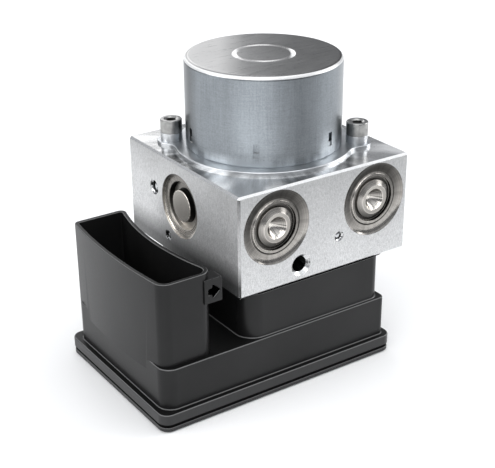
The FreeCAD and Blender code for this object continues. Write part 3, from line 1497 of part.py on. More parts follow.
def terminal_spots():
    """Places and half sizes of the terminals: two rows of pins and a blade at each end."""
    spots = []
    count = int(number("pins_per_row"))
    for row in ("-1", "1"):
        across = f"{SOCKET_MIDDLE_X} + {row} * pin_row_gap / 2"
        for index in range(count):
            along = f"socket_middle + {index - (count - 1) / 2} * pin_pitch"
            spots.append((across, along, "pin_thin / 2", "pin_wide / 2"))
    for side in ("-1", "1"):
        spots.append((SOCKET_MIDDLE_X, f"socket_middle + {side} * blade_offset",
                      "blade_wide / 2", "blade_thin / 2"))
    return spots


def connector():
    """Insert that holds the terminals in the socket's floor, and the terminals."""
    low = f"({CEILING} - header_below)"
    header = new_body("pin_header")
    block = sketch_on(header, "XY_Plane", "Insert", away=low)
    square(block, SOCKET_MIDDLE_X, "socket_middle", "header_width / 2 - seat_clearance",
           "header_length / 2 - seat_clearance")
    for spot in terminal_spots():
        square(block, *spot)
    pad(header, block, f"socket_floor + header_proud - {low}")
    keep(header, "pin_header")
    pins = new_body("connector_pins")
    ends = sketch_on(pins, "XY_Plane", "Terminals", away=BOARD_TOP)
    for spot in terminal_spots():
        square(ends, *spot)
    pad(pins, ends, f"pin_top - {BOARD_TOP}")
    keep(pins, "connector_pins")


def main():
    """Build every sub-part, check them all and write one file each."""
    hydraulic_block()
    ball_plugs()
    accumulators()
    pumps()
    valves()
    coil_pack()
    motor_can()
    motor_plate()
    motor_screws()
    motor_seal()
    shaft_and_bearings()
    armature()
    magnets()
    brush_gear()
    motor_lead()
    ecu_housing()
    housing_gasket()
    housing_screws()
    ecu_cover()
    cover_seal()
    circuit_board()
    connector()
    doc.recompute()
    failed = [item.Label for item in doc.Objects if {"Invalid", "Error"} & set(item.State)]
    if failed:
        raise RuntimeError("failed: " + ", ".join(failed))
    os.makedirs("parts", exist_ok=True)
    for part in PARTS:
        shape = part.Shape
        if shape.isNull() or not shape.isValid() or not shape.Solids:
            raise RuntimeError("no valid solid: " + part.Label)
    for part in PARTS:
        part.Shape.exportStep(f"parts/{part.Label}.step")
        print(part.Label, len(part.Shape.Solids), round(part.Shape.Volume, 1))


main()
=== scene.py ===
import json
import logging
import math
from dataclasses import dataclass
from enum import Enum
from typing import Callable, Sequence, Union

import bpy
from mathutils import Euler, Matrix, Vector


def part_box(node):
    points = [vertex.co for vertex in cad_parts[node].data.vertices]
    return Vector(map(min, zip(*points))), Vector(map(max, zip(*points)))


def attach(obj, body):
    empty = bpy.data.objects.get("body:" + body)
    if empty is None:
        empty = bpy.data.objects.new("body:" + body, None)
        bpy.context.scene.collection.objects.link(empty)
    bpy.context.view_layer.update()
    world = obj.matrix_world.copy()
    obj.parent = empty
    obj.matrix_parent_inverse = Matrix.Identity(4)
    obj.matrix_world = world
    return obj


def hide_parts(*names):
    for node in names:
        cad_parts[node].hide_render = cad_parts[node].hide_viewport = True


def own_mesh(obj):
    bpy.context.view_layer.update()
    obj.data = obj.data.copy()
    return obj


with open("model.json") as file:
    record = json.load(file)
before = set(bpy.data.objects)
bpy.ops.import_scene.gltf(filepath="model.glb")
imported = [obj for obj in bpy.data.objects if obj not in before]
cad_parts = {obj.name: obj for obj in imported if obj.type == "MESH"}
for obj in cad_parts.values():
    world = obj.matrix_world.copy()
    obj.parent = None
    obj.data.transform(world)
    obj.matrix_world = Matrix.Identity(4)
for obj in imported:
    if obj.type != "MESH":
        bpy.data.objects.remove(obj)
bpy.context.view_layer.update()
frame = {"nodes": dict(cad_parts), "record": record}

LOG = logging.getLogger("brake_module")
MM = 0.001
BLACK = (0.0, 0.0, 0.0)
BLOCK = ((-42.85, -44.5, 47.1), (42.85, 41.4, 90.8))
CAP_ACROSS, CAP_HEIGHT, PLUG_HEIGHT = 24.8, 74.0, 71.7
LUG = ((-58.4, -43.55, 49.2), (-50.1, -36.55, 59.7))
PHOTO_RIGHT = (0.83, -0.56)


def math_node(operation: str, swapped: bool = False) -> Callable[..., "Term"]:
    """Describe a method of Term that adds one Math node.

    Args:
        operation: the node's operation.
        swapped: puts the other value before this one.

    Returns:
        The method, which gives the node's result.
    """
    def method(self: "Term", *others: Union["Term", float]) -> "Term":
        """Work out this value with the others."""
        values = (*others, self) if swapped else (self, *others)
        return self.shades.node("ShaderNodeMath", {"operation": operation}, dict(enumerate(values)))
    return method


class Term:
    """One value of a shader; arithmetic on it adds the Math nodes that work it out.

    Above and below give one where the value is over or under a limit, else nought.
    """

    __add__ = __radd__ = math_node("ADD")
    __sub__ = math_node("SUBTRACT")
    __rsub__ = math_node("SUBTRACT", swapped=True)
    __mul__ = math_node("MULTIPLY")
    __pow__ = math_node("POWER")
    above = math_node("GREATER_THAN")
    below = math_node("LESS_THAN")
    sign = math_node("SIGN")
    absolute = math_node("ABSOLUTE")
    sine = math_node("SINE")
    root = math_node("SQRT")

    def __init__(self, shades: "Shades", socket: bpy.types.NodeSocket) -> None:
        """Wrap an output socket of a material's node tree."""
        self.shades = shades
        self.socket = socket

    def __neg__(self) -> "Term":
        """The value with its sign turned."""
        return self * -1.0

    def hypot(self, other: "Term") -> "Term":
        """The distance that this value and another make at a right angle."""
        return (self * self + other * other).root()

    def spread(self, low: float, high: float, start: float = 0.0, end: float = 1.0) -> "Term":
        """Map low to start and high to end, held at both ends."""
        return self.shades.node("ShaderNodeMapRange", {"clamp": True},
                                {0: self, 1: low, 2: high, 3: start, 4: end})


class Shades:
    """The node tree of one material, with the few kinds of node that the finishes use."""

    def __init__(self, name: str) -> None:
        """Start a material with a plain surface shader.

        Args:
            name: the material's name.
        """
        self.material = bpy.data.materials.new(name)
        self.material.use_nodes = True
        self.tree = self.material.node_tree
        self.surface = next(n for n in self.tree.nodes if n.type == "BSDF_PRINCIPLED")
        self.place = self.node("ShaderNodeTexCoord", {}, {}, "Object")

    def node(self, kind: str, settings: dict, inputs: dict, output: Union[int, str] = 0) -> Term:
        """Add a node.

        Args:
            kind: the node's type.
            settings: its properties.
            inputs: a value or Term for each input, by index or name.
            output: which output to return.

        Returns:
            The chosen output.
        """
        node = self.tree.nodes.new(kind)
        for key, value in settings.items():
            setattr(node, key, value)
        for key, value in inputs.items():
            if isinstance(value, Term):
                self.tree.links.new(value.socket, node.inputs[key])
            else:
                node.inputs[key].default_value = value
        return Term(self, node.outputs[output])

    def grain(self, scale: float, stretch: tuple = (1.0, 1.0, 1.0), detail: float = 3.0) -> Term:
        """Noise over the piece around one half, in patches for each metre, stretched along X, Y and Z."""
        place = self.node("ShaderNodeVectorMath", {"operation": "MULTIPLY"}, {0: self.place, 1: stretch})
        return self.node("ShaderNodeTexNoise", {}, {"Vector": place, "Scale": scale, "Detail": detail})

    def along(self, axis: int) -> Term:
        """One coordinate of the place, in metres: 0, 1 or 2 for X, Y or Z."""
        return self.node("ShaderNodeSeparateXYZ", {}, {0: self.place}, axis)

    def facing(self, axis: int) -> Term:
        """One coordinate of the surface's direction."""
        normal = self.node("ShaderNodeNewGeometry", {}, {}, "True Normal")
        return self.node("ShaderNodeSeparateXYZ", {}, {0: normal}, axis)

    def rightward(self) -> Term:
        """How far a point lies to the photograph's right of the motor's axis, in metres."""
        return self.along(0) * PHOTO_RIGHT[0] + self.along(1) * PHOTO_RIGHT[1]

    def inside(self, box: tuple, skin: float) -> Term:
        """Tell what lies deep in a box.

        Args:
            box: its lowest and highest corners in millimetres.
            skin: how deep its skin reaches in millimetres.

        Returns:
            One under the skin, else nought.
        """
        limits = []
        for axis in range(3):
            place = self.along(axis)
            limits += [place.above((box[0][axis] + skin) * MM), place.below((box[1][axis] - skin) * MM)]
        inside = limits[0]
        for limit in limits[1:]:
            inside = inside * limit
        return inside

    def waver(self, place: Term, detail: float = 2.0) -> Term:
        """Noise along one value, around one half."""
        return self.node("ShaderNodeTexNoise", {"noise_dimensions": "1D"},
                         {"W": place, "Scale": 1.0, "Detail": detail})

    def ramp(self, place: Term, stops: Sequence[tuple]) -> Term:
        """Read a value off a row of stops.

        Args:
            place: where to read, from nought to one.
            stops: (place, value) pairs in order.

        Returns:
            The value there.
        """
        result = self.node("ShaderNodeValToRGB", {}, {0: place})
        elements = result.socket.node.color_ramp.elements
        while len(elements) < len(stops):
            elements.new(1.0)
        for element, (position, value) in zip(elements, stops):
            element.position = position
            element.color = (value, value, value, 1.0)
        return result

    def bearing(self, across: Term, up: Term) -> Term:
        """The direction of a point round the origin, in radians."""
        return self.node("ShaderNodeMath", {"operation": "ARCTAN2"}, {0: up, 1: across})

    def tint(self, amount: Term, colour: tuple) -> Term:
        """A colour made lighter or darker by an amount."""
        return self.blend(amount, BLACK, colour)

    def blend(self, amount: Term, low: Union[Term, tuple], high: Union[Term, tuple]) -> Term:
        """Mix two colours: nought gives the first, one the second."""
        low, high = (colour if isinstance(colour, Term) else (*colour, 1.0) for colour in (low, high))
        return self.node("ShaderNodeMix", {"data_type": "RGBA"}, {0: amount, 6: low, 7: high}, 2)

    def bump(self, height: Term, depth: float, strength: float = 1.0) -> Term:
        """Turn a height's pattern into a bumped normal; depth is a full step in metres."""
        return self.node("ShaderNodeBump", {}, {"Height": height, "Distance": depth, "Strength": strength})

    def finish(self, **sockets: Union[Term, float, tuple]) -> bpy.types.Material:
        """Set or link the surface shader's inputs.

        Args:
            sockets: input names with underscores for spaces.

        Returns:
            The material.
        """
        for name, value in sockets.items():
            socket = self.surface.inputs[name.replace("_", " ")]
            if isinstance(value, Term):
                self.tree.links.new(value.socket, socket)
            else:
                socket.default_value = value if not isinstance(value, tuple) else (*value, 1.0)
        return self.material


@dataclass(frozen=True)
class MilledAluminium:
    """Milled block: fine upright lines and flecks, a top bright with painted reflections, and painted shade
    in the bores.

    Each shade is a painted shade, (start, end, darkness at the start, darkness at the end) along a
    coordinate in metres. What lies deeper in the block than the skin, in millimetres, is painted
    dark as shade. The disc is the plate's (start, end, share left beyond it) for the painted
    reflection streaks round the plate.
    """

    name: str = "milled_aluminium"
    colour: tuple = (0.87, 0.875, 0.88)
    skin: float = 1.5
    # Painted shade on the front, the left side and the top's far corner.
    front_shade: tuple = (0.052, 0.0908, 0.0, 0.34)
    left_low_shade: tuple = (0.052, 0.062, 0.75, 0.0)
    left_high_shade: tuple = (0.076, 0.091, 0.0, 0.3)
    top_shade: tuple = (-0.06, -0.01, 0.6, 0.0)
    disc: tuple = (0.040, 0.052, 1.0, 0.12)
    # Where the top front edge gets its painted highlight.
    crest_height: float = 0.090
    crest_front: float = 0.0435

    def material(self) -> bpy.types.Material:
        """Build the material."""
        shades = Shades(self.name)
        lines = shades.grain(2200.0, (1.0, 1.0, 0.25), 4.0)
        fleck = shades.grain(2600.0, (1.0, 1.0, 1.0), 2.0)
        cloud = shades.grain(35.0, (1.0, 1.0, 0.7), 3.0)
        straight = [shades.facing(axis).absolute().above(0.95) for axis in range(3)]
        top = straight[2]
        edge = 1.0 - straight[0] - straight[1] - straight[2]
        # Painted highlight on the level edges, painted shade on the upright ones.
        level = edge * (shades.facing(2).absolute().above(0.3) * 1.3 - 0.3)
        # The top front edge, where less metal shows the pale colour as a painted highlight.
        crest = edge * shades.along(2).above(self.crest_height)
        crest = crest * (-shades.along(1)).above(self.crest_front)
        # Painted shade deep inside the bores and hollows.
        deep = shades.inside(BLOCK, self.skin)
        # Painted reflection streaks and soft painted reflections on the top.
        streaks, reflection_blotch = self._painted_reflections(shades, top, cloud)
        reflection_blotch = reflection_blotch * (1.0 - deep)
        tone = 0.55 + (lines * 0.4 + fleck * 0.45 + cloud * 0.15).spread(0.36, 0.66) * 0.4
        # Grain tone under painted shade, with painted edge highlights and painted reflections added.
        amount = tone * (1.0 - self._painted_shade(shades, top)) + level * 0.42 + streaks * 0.5 + reflection_blotch * 0.3
        rough = (0.36 + lines * 0.14) * (1.0 - top) + (0.15 + cloud * 0.08) * top - edge * 0.2
        relief = (lines + fleck * 0.6) * (1.0 - top) + (cloud * 45.0 + lines * 0.5) * top
        # Less metal under the painted reflection patches and on the crest, so they show pale as painted
        # highlight.
        return shades.finish(Base_Color=shades.tint(amount * (1.0 - deep * 0.85), self.colour),
                             Metallic=0.65 + (top + level) * 0.3 - reflection_blotch * 0.45 - crest * 0.9,
                             Roughness=rough, Normal=shades.bump(relief, 0.000012, 0.5))

    def _painted_reflections(self, shades: Shades, top: Term, cloud: Term) -> tuple:
        """Lay painted reflection streaks round the plate, and soft painted reflections beyond them.

        Args:
            shades: the material's nodes.
            top: one on the block's top.
            cloud: slow noise that bends the patches.

        Returns:
            The painted reflection streaks, and the soft painted reflections.
        """
        turn = shades.bearing(shades.along(0), shades.along(1))
        near = shades.along(0).hypot(shades.along(1)).spread(*self.disc)
        streaks = (shades.waver(turn * 9.0).spread(0.35, 0.65) - 0.42) * near * top
        waves = (turn * 14.0 + cloud * 5.0 + math.pi).sine()
        return streaks, waves.spread(0.1, 0.9) * (1.0 - near) * top

    def _painted_shade(self, shades: Shades, top: Term) -> Term:
        """Paint shade on the faces where they would mirror dark surroundings.

        Args:
            shades: the material's nodes.
            top: one on the block's top.

        Returns:
            The painted darkness.
        """
        height = shades.along(2)
        front = (-shades.facing(1)).above(0.7) * height.spread(*self.front_shade)
        left = height.spread(*self.left_low_shade) + height.spread(*self.left_high_shade)
        left = (-shades.facing(0)).above(0.7) * left
        return front + left + top * shades.rightward().spread(*self.top_shade)


@dataclass(frozen=True)
class DrawnCan:
    """Deep drawn plated can: crossed fine lines on the wall, lines across the lid, and painted light.

    The wall's painted reflection is a row of (bearing in degrees, lightness), the lid's painted
    highlight a row of (place from its bright left side to its right in millimetres, lightness), and
    both run equally far to either side. Foot, bead and bead_highlight_span are (start, end) in metres:
    up the wall, and out from the axis. Painted reflection patches lie low on the wall, painted
    highlights on the rim's lip and the bead's ends, and a painted shade line above the lip.
    """

    name: str = "drawn_can"
    wall: tuple = (0.425, 0.462, 0.495)
    lid: tuple = (0.56, 0.555, 0.55)
    lid_height: float = 0.125
    rim: float = 0.03
    foot: tuple = (0.0925, 0.097)
    bead: tuple = (0.01125, 0.01325)
    bead_highlight_span: tuple = (0.0095, 0.0118)
    # Colours of the painted highlights, and of the painted shade line above the lip.
    bright: tuple = (0.95, 0.95, 0.95)
    painted_rim_shade: tuple = (0.02, 0.02, 0.022)
    # Painted reflection round the wall, and a painted highlight across the lid.
    wall_painted_reflection: tuple = ((-180.0, 0.66), (-150.0, 0.68), (-137.0, 0.98), (-125.0, 0.96), (-112.0, 0.6),
                         (-99.0, 0.4), (-90.0, 0.46), (-78.0, 0.64), (-48.0, 0.66), (20.0, 0.85),
                         (100.0, 0.5), (168.0, 0.3), (180.0, 0.62))
    lid_painted_highlight: tuple = ((-34.0, 2.7), (-25.0, 2.4), (-17.0, 1.8), (-9.0, 1.2), (2.0, 0.85), (14.0, 0.62),
                        (34.0, 0.56))

    def material(self) -> bpy.types.Material:
        """Build the material."""
        shades = Shades(self.name)
        tilt, right = shades.facing(2), shades.rightward()
        top = tilt.above(0.7)
        turn = shades.bearing(shades.along(0), shades.along(1))
        # Painted reflection round the wall, painted highlight across the lid.
        sheen = self._painted_row(shades, turn, self.wall_painted_reflection, math.radians(1.0))
        painted_lid_gleam = self._painted_row(shades, right, self.lid_painted_highlight, MM)
        # Painted reflection patches low on the wall, near the plate.
        foot_reflections = shades.waver(turn * 5.0, 1.0).spread(0.42, 0.58) * 0.6 + 0.4
        foot_reflections = foot_reflections * shades.along(2).spread(*self.foot, 1.0, 0.0)
        lines = self._lines(shades, top)
        cloud = shades.grain(60.0, (1.0, 1.0, 0.6), 4.0)
        fleck = shades.grain(1600.0)
        tone = 0.66 + (lines * 0.4 + cloud * 0.3 + fleck * 0.3).spread(0.36, 0.66) * 0.42
        colour = shades.blend(top, shades.tint(tone * (sheen + foot_reflections * 0.7), self.wall),
                              shades.tint(tone * painted_lid_gleam, self.lid))
        radius = shades.along(0).hypot(shades.along(1))
        rim = radius.above(self.rim)
        # Painted highlight on the rim's lip and, just above it, a painted shade line.
        lip = rim * tilt.spread(0.2, 0.45) * tilt.spread(0.7, 0.84, 1.0, 0.0)
        painted_rim_shade = rim * tilt.spread(0.84, 0.9) * tilt.spread(0.96, 0.995, 1.0, 0.0)
        # Painted highlights at the bead's two ends.
        ring = radius.above(self.bead[0]) * radius.below(self.bead[1])
        ends = ring * shades.along(2).above(self.lid_height) * right.absolute().spread(*self.bead_highlight_span)
        painted_white = ends + lip * 0.85
        colour = shades.blend(painted_white, colour, shades.tint(painted_white + 0.1, self.bright))
        # Less metal under the painted highlights and reflections, so they show pale.
        plain = painted_white * 0.85 + top * painted_lid_gleam.spread(1.1, 1.9) * tone * 0.95 + foot_reflections * 0.6
        return shades.finish(Base_Color=shades.blend(painted_rim_shade * 0.6, colour, self.painted_rim_shade), Metallic=1.0 - plain,
                             Roughness=0.22 + lines * 0.16,
                             Normal=shades.bump(lines + fleck * 0.6 + cloud * 2.0, 0.00001, 0.5))

    @staticmethod
    def _painted_row(shades: Shades, place: Term, row: tuple, unit: float) -> Term:
        """Read the painted lightness off one of the rows.

        Args:
            shades: the material's nodes.
            place: where to read.
            row: the row.
            unit: how much of the place one of the row's units is.

        Returns:
            The painted lightness.
        """
        reach = row[-1][0]
        stops = [(0.5 * spot / reach + 0.5, light) for spot, light in row]
        return shades.ramp(place * (0.5 / (reach * unit)) + 0.5, stops)

    @staticmethod
    def _lines(shades: Shades, top: Term) -> Term:
        """Draw fine lines, up and around the wall and across the lid.

        Args:
            shades: the material's nodes.
            top: one on the lid.

        Returns:
            The lines' pattern.
        """
        up = shades.grain(1500.0, (1.0, 1.0, 0.05), 3.0)
        around = shades.grain(2600.0, (0.06, 0.06, 1.0), 3.0)
        across = shades.grain(2200.0, (0.05, 1.0, 1.0), 3.0)
        return (up * 0.5 + around * 0.5) * (1.0 - top) + across * top


@dataclass(frozen=True)
class PlainMetal:
    """Turned, pressed or drawn metal with faint marks."""

    name: str
    dark: tuple
    light: tuple
    rough: float
    scale: float = 500.0

    def material(self) -> bpy.types.Material:
        """Build the material."""
        shades = Shades(self.name)
        marks = shades.grain(self.scale)
        return shades.finish(Base_Color=shades.blend(marks.spread(0.3, 0.7), self.dark, self.light),
                             Metallic=1.0, Roughness=self.rough + marks * 0.1,
                             Normal=shades.bump(marks, 0.00001, 0.4))


@dataclass(frozen=True)
class TurnedNickel:
    """Plated disc turned about an axis: ring marks, with painted shade in the grooves and painted
    reflection streaks.

    Each band is (radius in millimetres, lightness of its painted shaded side, of its painted lit
    side, bearing of the painted lit side in degrees, roughness), from the middle outwards: the bands
    paint light and shade round the disc. The axis is the coordinate across the disc, offset to
    either side of the module, and sense turns it to the right as seen from outside.
    """

    name: str
    colour: tuple
    painted_bands: tuple
    axis: int
    sense: float
    offset: float
    height: float
    # Radii inside and beyond which the painted reflection streaks run.
    rayed: float = 0.0
    streaked: float = 9.0
    metal: float = 1.0
    reach: float = 16.0
    gain: float = 0.68

    def material(self) -> bpy.types.Material:
        """Build the material."""
        shades = Shades(self.name)
        across = shades.along(self.axis)
        if self.offset:
            across = across - across.sign() * (self.offset * MM)
        across, up = across * self.sense, shades.along(2) - self.height * MM
        radius = across.hypot(up) * (1.0 / (self.reach * MM))
        turn = shades.bearing(across, up)
        # Painted shade and light of each band, and the bearing its painted light comes from.
        dark, light, bearing, rough = (
            shades.ramp(radius, [(band[0] / self.reach, self._value(band, column)) for band in self.painted_bands])
            for column in range(1, 5))
        # Painted light: lighter towards each band's lit bearing.
        painted_lit = ((turn - bearing * (2 * math.pi) + math.pi / 2).sine() * 0.5 + 0.5) ** 2.0
        rings, rays = shades.waver(radius * 60.0), shades.waver(turn * 6.0)
        # Painted reflection streaks in the cone and on the rim.
        cone, rim = radius.below(self.rayed / self.reach), radius.above(self.streaked / self.reach)
        streaks = rays.spread(0.40, 0.47, 0.3, 1.1) * cone + rays.spread(0.36, 0.56, 0.84, 1.06) * rim
        # Real ring marks, carrying the painted reflection streaks.
        marks = rings.spread(0.35, 0.6, 0.8, 1.12) * (streaks + 1.0 - cone - rim)
        amount = (dark + (light - dark) * painted_lit) * marks * self.gain
        return shades.finish(Base_Color=shades.tint(amount, self.colour), Metallic=self.metal,
                             Roughness=rough + rings * 0.06,
                             Normal=shades.bump(rings + rays * 0.6, 0.00002, 0.5))

    @staticmethod
    def _value(band: tuple, column: int) -> float:
        """One value of a band, with a bearing as a share of the turn."""
        return band[column] % 360 / 360.0 if column == 3 else band[column]


@dataclass(frozen=True)
class Moulding:
    """Moulded plastic or rubber with a fine grain.

    With an edge's lightness, its rounded edges are lighter with a painted highlight, its ledges
    painted black as shade, its left-facing faces darker with painted shade, and its skirt under
    skirt_top grey with painted light. The pocket is a box's corners in millimetres, painted dark
    inside as shade.
    """

    name: str
    dark: tuple
    light: tuple
    rough: float
    depth: float = 0.00002
    shine: float = 0.28
    # Lightness of the painted edge highlights.
    edge: float = 0.0
    # Grey of the painted light on the skirt.
    skirt: tuple = (0.045, 0.045, 0.046)
    skirt_top: float = 0.0079
    # Box painted dark inside as shade.
    pocket: tuple = ()

    def material(self) -> bpy.types.Material:
        """Build the material."""
        shades = Shades(self.name)
        grain = shades.grain(1400.0)
        cloud = shades.grain(40.0)
        colour = shades.blend(cloud.spread(0.3, 0.7), self.dark, self.light)
        rough = self.rough + grain * 0.12 - 0.06
        if self.edge:
            colour, change = self._edges(shades, colour)
            rough = rough + change
        if self.pocket:
            # Painted shade inside the pocket.
            colour = shades.blend(shades.inside(self.pocket, 0.5), colour, BLACK)
        return shades.finish(Base_Color=colour, Roughness=rough, Specular_IOR_Level=self.shine,
                             Normal=shades.bump(grain, self.depth, 0.6))

    def _edges(self, shades: Shades, colour: Term) -> tuple:
        """Paint edge highlights and skirt light; paint shade black on the ledges, darker on the left side.

        Args:
            shades: the material's nodes.
            colour: the plain colour.

        Returns:
            The new colour and the change of roughness.
        """
        up = shades.facing(2)
        # Painted highlight on the rounded edges.
        painted_edge_highlight = up.spread(0.3, 0.6) * up.spread(0.85, 0.97, 1.0, 0.0)
        # Painted shade, black, on the up-facing ledges.
        flat = up.spread(0.97, 0.99) * 0.85
        # Painted shade on the faces that look left.
        left = (-shades.facing(0)).spread(0.6, 0.9) * 0.3
        # Painted light on the skirt's sides.
        skirt = shades.along(2).below(self.skirt_top) * (1.0 - up.absolute().spread(0.3, 0.6)) * 0.7
        lighter = shades.tint(painted_edge_highlight * self.edge, (1.0, 1.0, 1.0))
        for share, over in ((painted_edge_highlight, lighter), (flat, BLACK), (left, BLACK), (skirt, self.skirt)):
            colour = shades.blend(share, colour, over)
        return colour, flat * 0.2 - painted_edge_highlight * 0.1


# Painted light and shade of the caps and plugs, band by band: (radius, painted shaded lightness, painted lit
# lightness, lit bearing in degrees, roughness).
CAP_PAINTED_BANDS = (
    (0.0, 0.12, 1.6, -80.0, 0.14), (4.4, 0.14, 1.6, -80.0, 0.14), (4.7, 1.0, 1.4, -75.0, 0.2),
    (4.95, 0.5, 0.62, 120.0, 0.26), (6.0, 0.5, 0.66, 120.0, 0.26), (6.2, 0.8, 1.2, 120.0, 0.2),
    (6.5, 0.1, 0.95, 130.0, 0.2), (8.2, 0.07, 0.5, 130.0, 0.22), (8.5, 0.03, 0.2, 140.0, 0.35),
    (9.6, 0.03, 0.25, 140.0, 0.35), (9.8, 0.6, 1.4, 135.0, 0.2), (10.0, 0.2, 0.55, -90.0, 0.24),
    (10.8, 0.2, 0.55, -90.0, 0.24), (11.05, 0.4, 1.5, 135.0, 0.14), (11.25, 0.02, 0.3, 125.0, 0.25),
    (11.7, 0.04, 0.4, 125.0, 0.22), (12.0, 0.07, 0.6, -75.0, 0.2), (13.2, 0.05, 0.7, -70.0, 0.16),
    (14.6, 0.05, 0.9, -65.0, 0.14), (15.5, 0.09, 1.0, -70.0, 0.14), (15.7, 0.2, 1.4, -80.0, 0.12))
PLUG_PAINTED_BANDS = (
    (0.0, 0.6, 0.66, 0.0, 0.34), (6.3, 0.6, 0.66, 0.0, 0.34), (6.55, 0.7, 1.5, 40.0, 0.2),
    (6.9, 0.6, 1.4, 40.0, 0.2), (6.97, 0.01, 0.03, 225.0, 0.4), (7.3, 0.01, 0.05, 225.0, 0.4),
    (7.5, 0.3, 0.9, -80.0, 0.3), (9.9, 0.35, 1.0, -80.0, 0.3), (10.15, 0.0, 1.2, -70.0, 0.3),
    (10.45, 0.0, 1.2, -70.0, 0.3), (10.7, 0.3, 1.2, -90.0, 0.24), (12.8, 0.35, 1.2, -95.0, 0.24),
    (13.2, 0.1, 1.5, -130.0, 0.18), (14.0, 0.1, 1.5, -130.0, 0.18))


class Finish(Enum):
    """The finishes of the module."""

    BLOCK = MilledAluminium()
    CAN = DrawnCan()
    PLATE = PlainMetal("pressed_plate", (0.50, 0.515, 0.53), (0.72, 0.74, 0.76), 0.3, 160.0)
    SCREW = PlainMetal("screw_steel", (0.28, 0.28, 0.275), (0.42, 0.42, 0.41), 0.24)
    CAP = TurnedNickel("nickel_caps", (0.96, 0.915, 0.855), CAP_PAINTED_BANDS, axis=0, sense=1.0,
                       offset=CAP_ACROSS, height=CAP_HEIGHT, rayed=4.6)
    PLUG = TurnedNickel("nickel_plugs", (0.96, 0.905, 0.83), PLUG_PAINTED_BANDS, axis=1, sense=-1.0,
                        offset=0.0, height=PLUG_HEIGHT, metal=0.75)
    STAKED = PlainMetal("staked_edges", (0.40, 0.41, 0.42), (0.9, 0.9, 0.9), 0.14, 1500.0)
    STEEL = PlainMetal("ground_steel", (0.50, 0.51, 0.52), (0.64, 0.65, 0.66), 0.16)
    SHEETS = PlainMetal("core_sheets", (0.22, 0.23, 0.24), (0.34, 0.35, 0.36), 0.4)
    WIRE = PlainMetal("spring_wire", (0.36, 0.37, 0.38), (0.48, 0.49, 0.50), 0.3)
    COPPER = PlainMetal("coil_copper", (0.55, 0.22, 0.10), (0.72, 0.34, 0.18), 0.3)
    BRONZE = PlainMetal("bush_bronze", (0.45, 0.30, 0.14), (0.60, 0.42, 0.22), 0.35)
    TIN = PlainMetal("terminal_tin", (0.60, 0.56, 0.46), (0.74, 0.70, 0.60), 0.25)
    SHELL = Moulding("black_housing", (0.009, 0.009, 0.0092), (0.015, 0.015, 0.0153), 0.32, edge=0.16,
                     pocket=LUG)
    LID = Moulding("black_lid", (0.016, 0.016, 0.0162), (0.024, 0.024, 0.0243), 0.40, edge=0.12)
    RUBBER = Moulding("seal_rubber", (0.0015, 0.0015, 0.0015), (0.003, 0.003, 0.003), 0.8, shine=0.08)
    HOLDER = Moulding("brown_holder", (0.03, 0.025, 0.02), (0.05, 0.04, 0.03), 0.5)
    CARBON = Moulding("brush_carbon", (0.02, 0.02, 0.02), (0.04, 0.04, 0.04), 0.6)
    FERRITE = Moulding("magnet_ferrite", (0.03, 0.03, 0.032), (0.05, 0.05, 0.052), 0.5)
    BOARD = Moulding("board_laminate", (0.01, 0.06, 0.03), (0.02, 0.09, 0.045), 0.35)


SLOT_FINISH = {
    "block_aluminium": Finish.BLOCK, "turned_aluminium": Finish.STEEL, "plated_caps": Finish.CAP,
    "zinc_can": Finish.CAN, "zinc_plate": Finish.PLATE, "screw_steel": Finish.SCREW,
    "hard_steel": Finish.STEEL, "core_steel": Finish.SHEETS, "spring_steel": Finish.WIRE,
    "seal_rubber": Finish.RUBBER, "coil_copper": Finish.COPPER, "bush_bronze": Finish.BRONZE,
    "terminal_metal": Finish.TIN, "ferrite": Finish.FERRITE, "brush_carbon": Finish.CARBON,
    "cage_polymer": Finish.HOLDER, "holder_polymer": Finish.HOLDER, "black_polymer": Finish.SHELL,
    "cover_polymer": Finish.SHELL, "board_laminate": Finish.BOARD,
}


class Wardrobe:
    """Builds each finish's material once."""

    def __init__(self) -> None:
        """Start with no material built."""
        self.made: dict = {}

    def of(self, finish: Finish) -> bpy.types.Material:
        """Give the material of a finish.

        Args:
            finish: the finish.

        Returns:
            Its material.
        """
        if finish not in self.made:
            self.made[finish] = finish.value.material()
        return self.made[finish]

    def dress(self, piece: bpy.types.Object, finish: Finish) -> None:
        """Give a piece or CAD node one finish all over."""
        piece.data.materials.clear()
        piece.data.materials.append(self.of(finish))


def rounded(corners: Sequence[tuple], fine: int = 5) -> list:
    """Round the corners of a line or outline.

    Args:
        corners: (across, along) or (across, along, radius) for each corner in order.
        fine: steps of each arc.

    Returns:
        The points, with an arc for each corner that has a radius.
    """
    points = []
    for place, corner in enumerate(corners):
        here = Vector(corner[:2])
        if len(corner) < 3:
            points.append(here)
            continue
        before = (Vector(corners[place - 1][:2]) - here).normalized()
        after = (Vector(corners[(place + 1) % len(corners)][:2]) - here).normalized()
        half = before.angle(after) / 2
        middle = here + (before + after).normalized() * corner[2] / math.sin(half)
        start, end = (here + way * corner[2] / math.tan(half) - middle for way in (before, after))
        sweep = start.angle_signed(end)
        for step in range(fine + 1):
            turned = start.copy()
            turned.rotate(Matrix.Rotation(-sweep * step / fine, 2))
            points.append(middle + turned)
    return points


def box_outline(low: tuple, high: tuple, radii: Sequence[float], fine: int = 8) -> Callable[[float], list]:
    """Describe a rounded rectangle that can be drawn at any inset.

    Args:
        low: its lowest corner.
        high: its highest corner.
        radii: corner radii from the lowest corner anticlockwise.
        fine: steps of each corner's arc.

    Returns:
        A function from an inset to the outline's points.
    """
    def draw(inset: float) -> list:
        """Draw the outline moved inwards."""
        left, front, right, back = low[0] + inset, low[1] + inset, high[0] - inset, high[1] - inset
        spots = ((left, front), (right, front), (right, back), (left, back))
        return rounded([(*spot, max(radius - inset, 0.3)) for spot, radius in zip(spots, radii)], fine)
    return draw


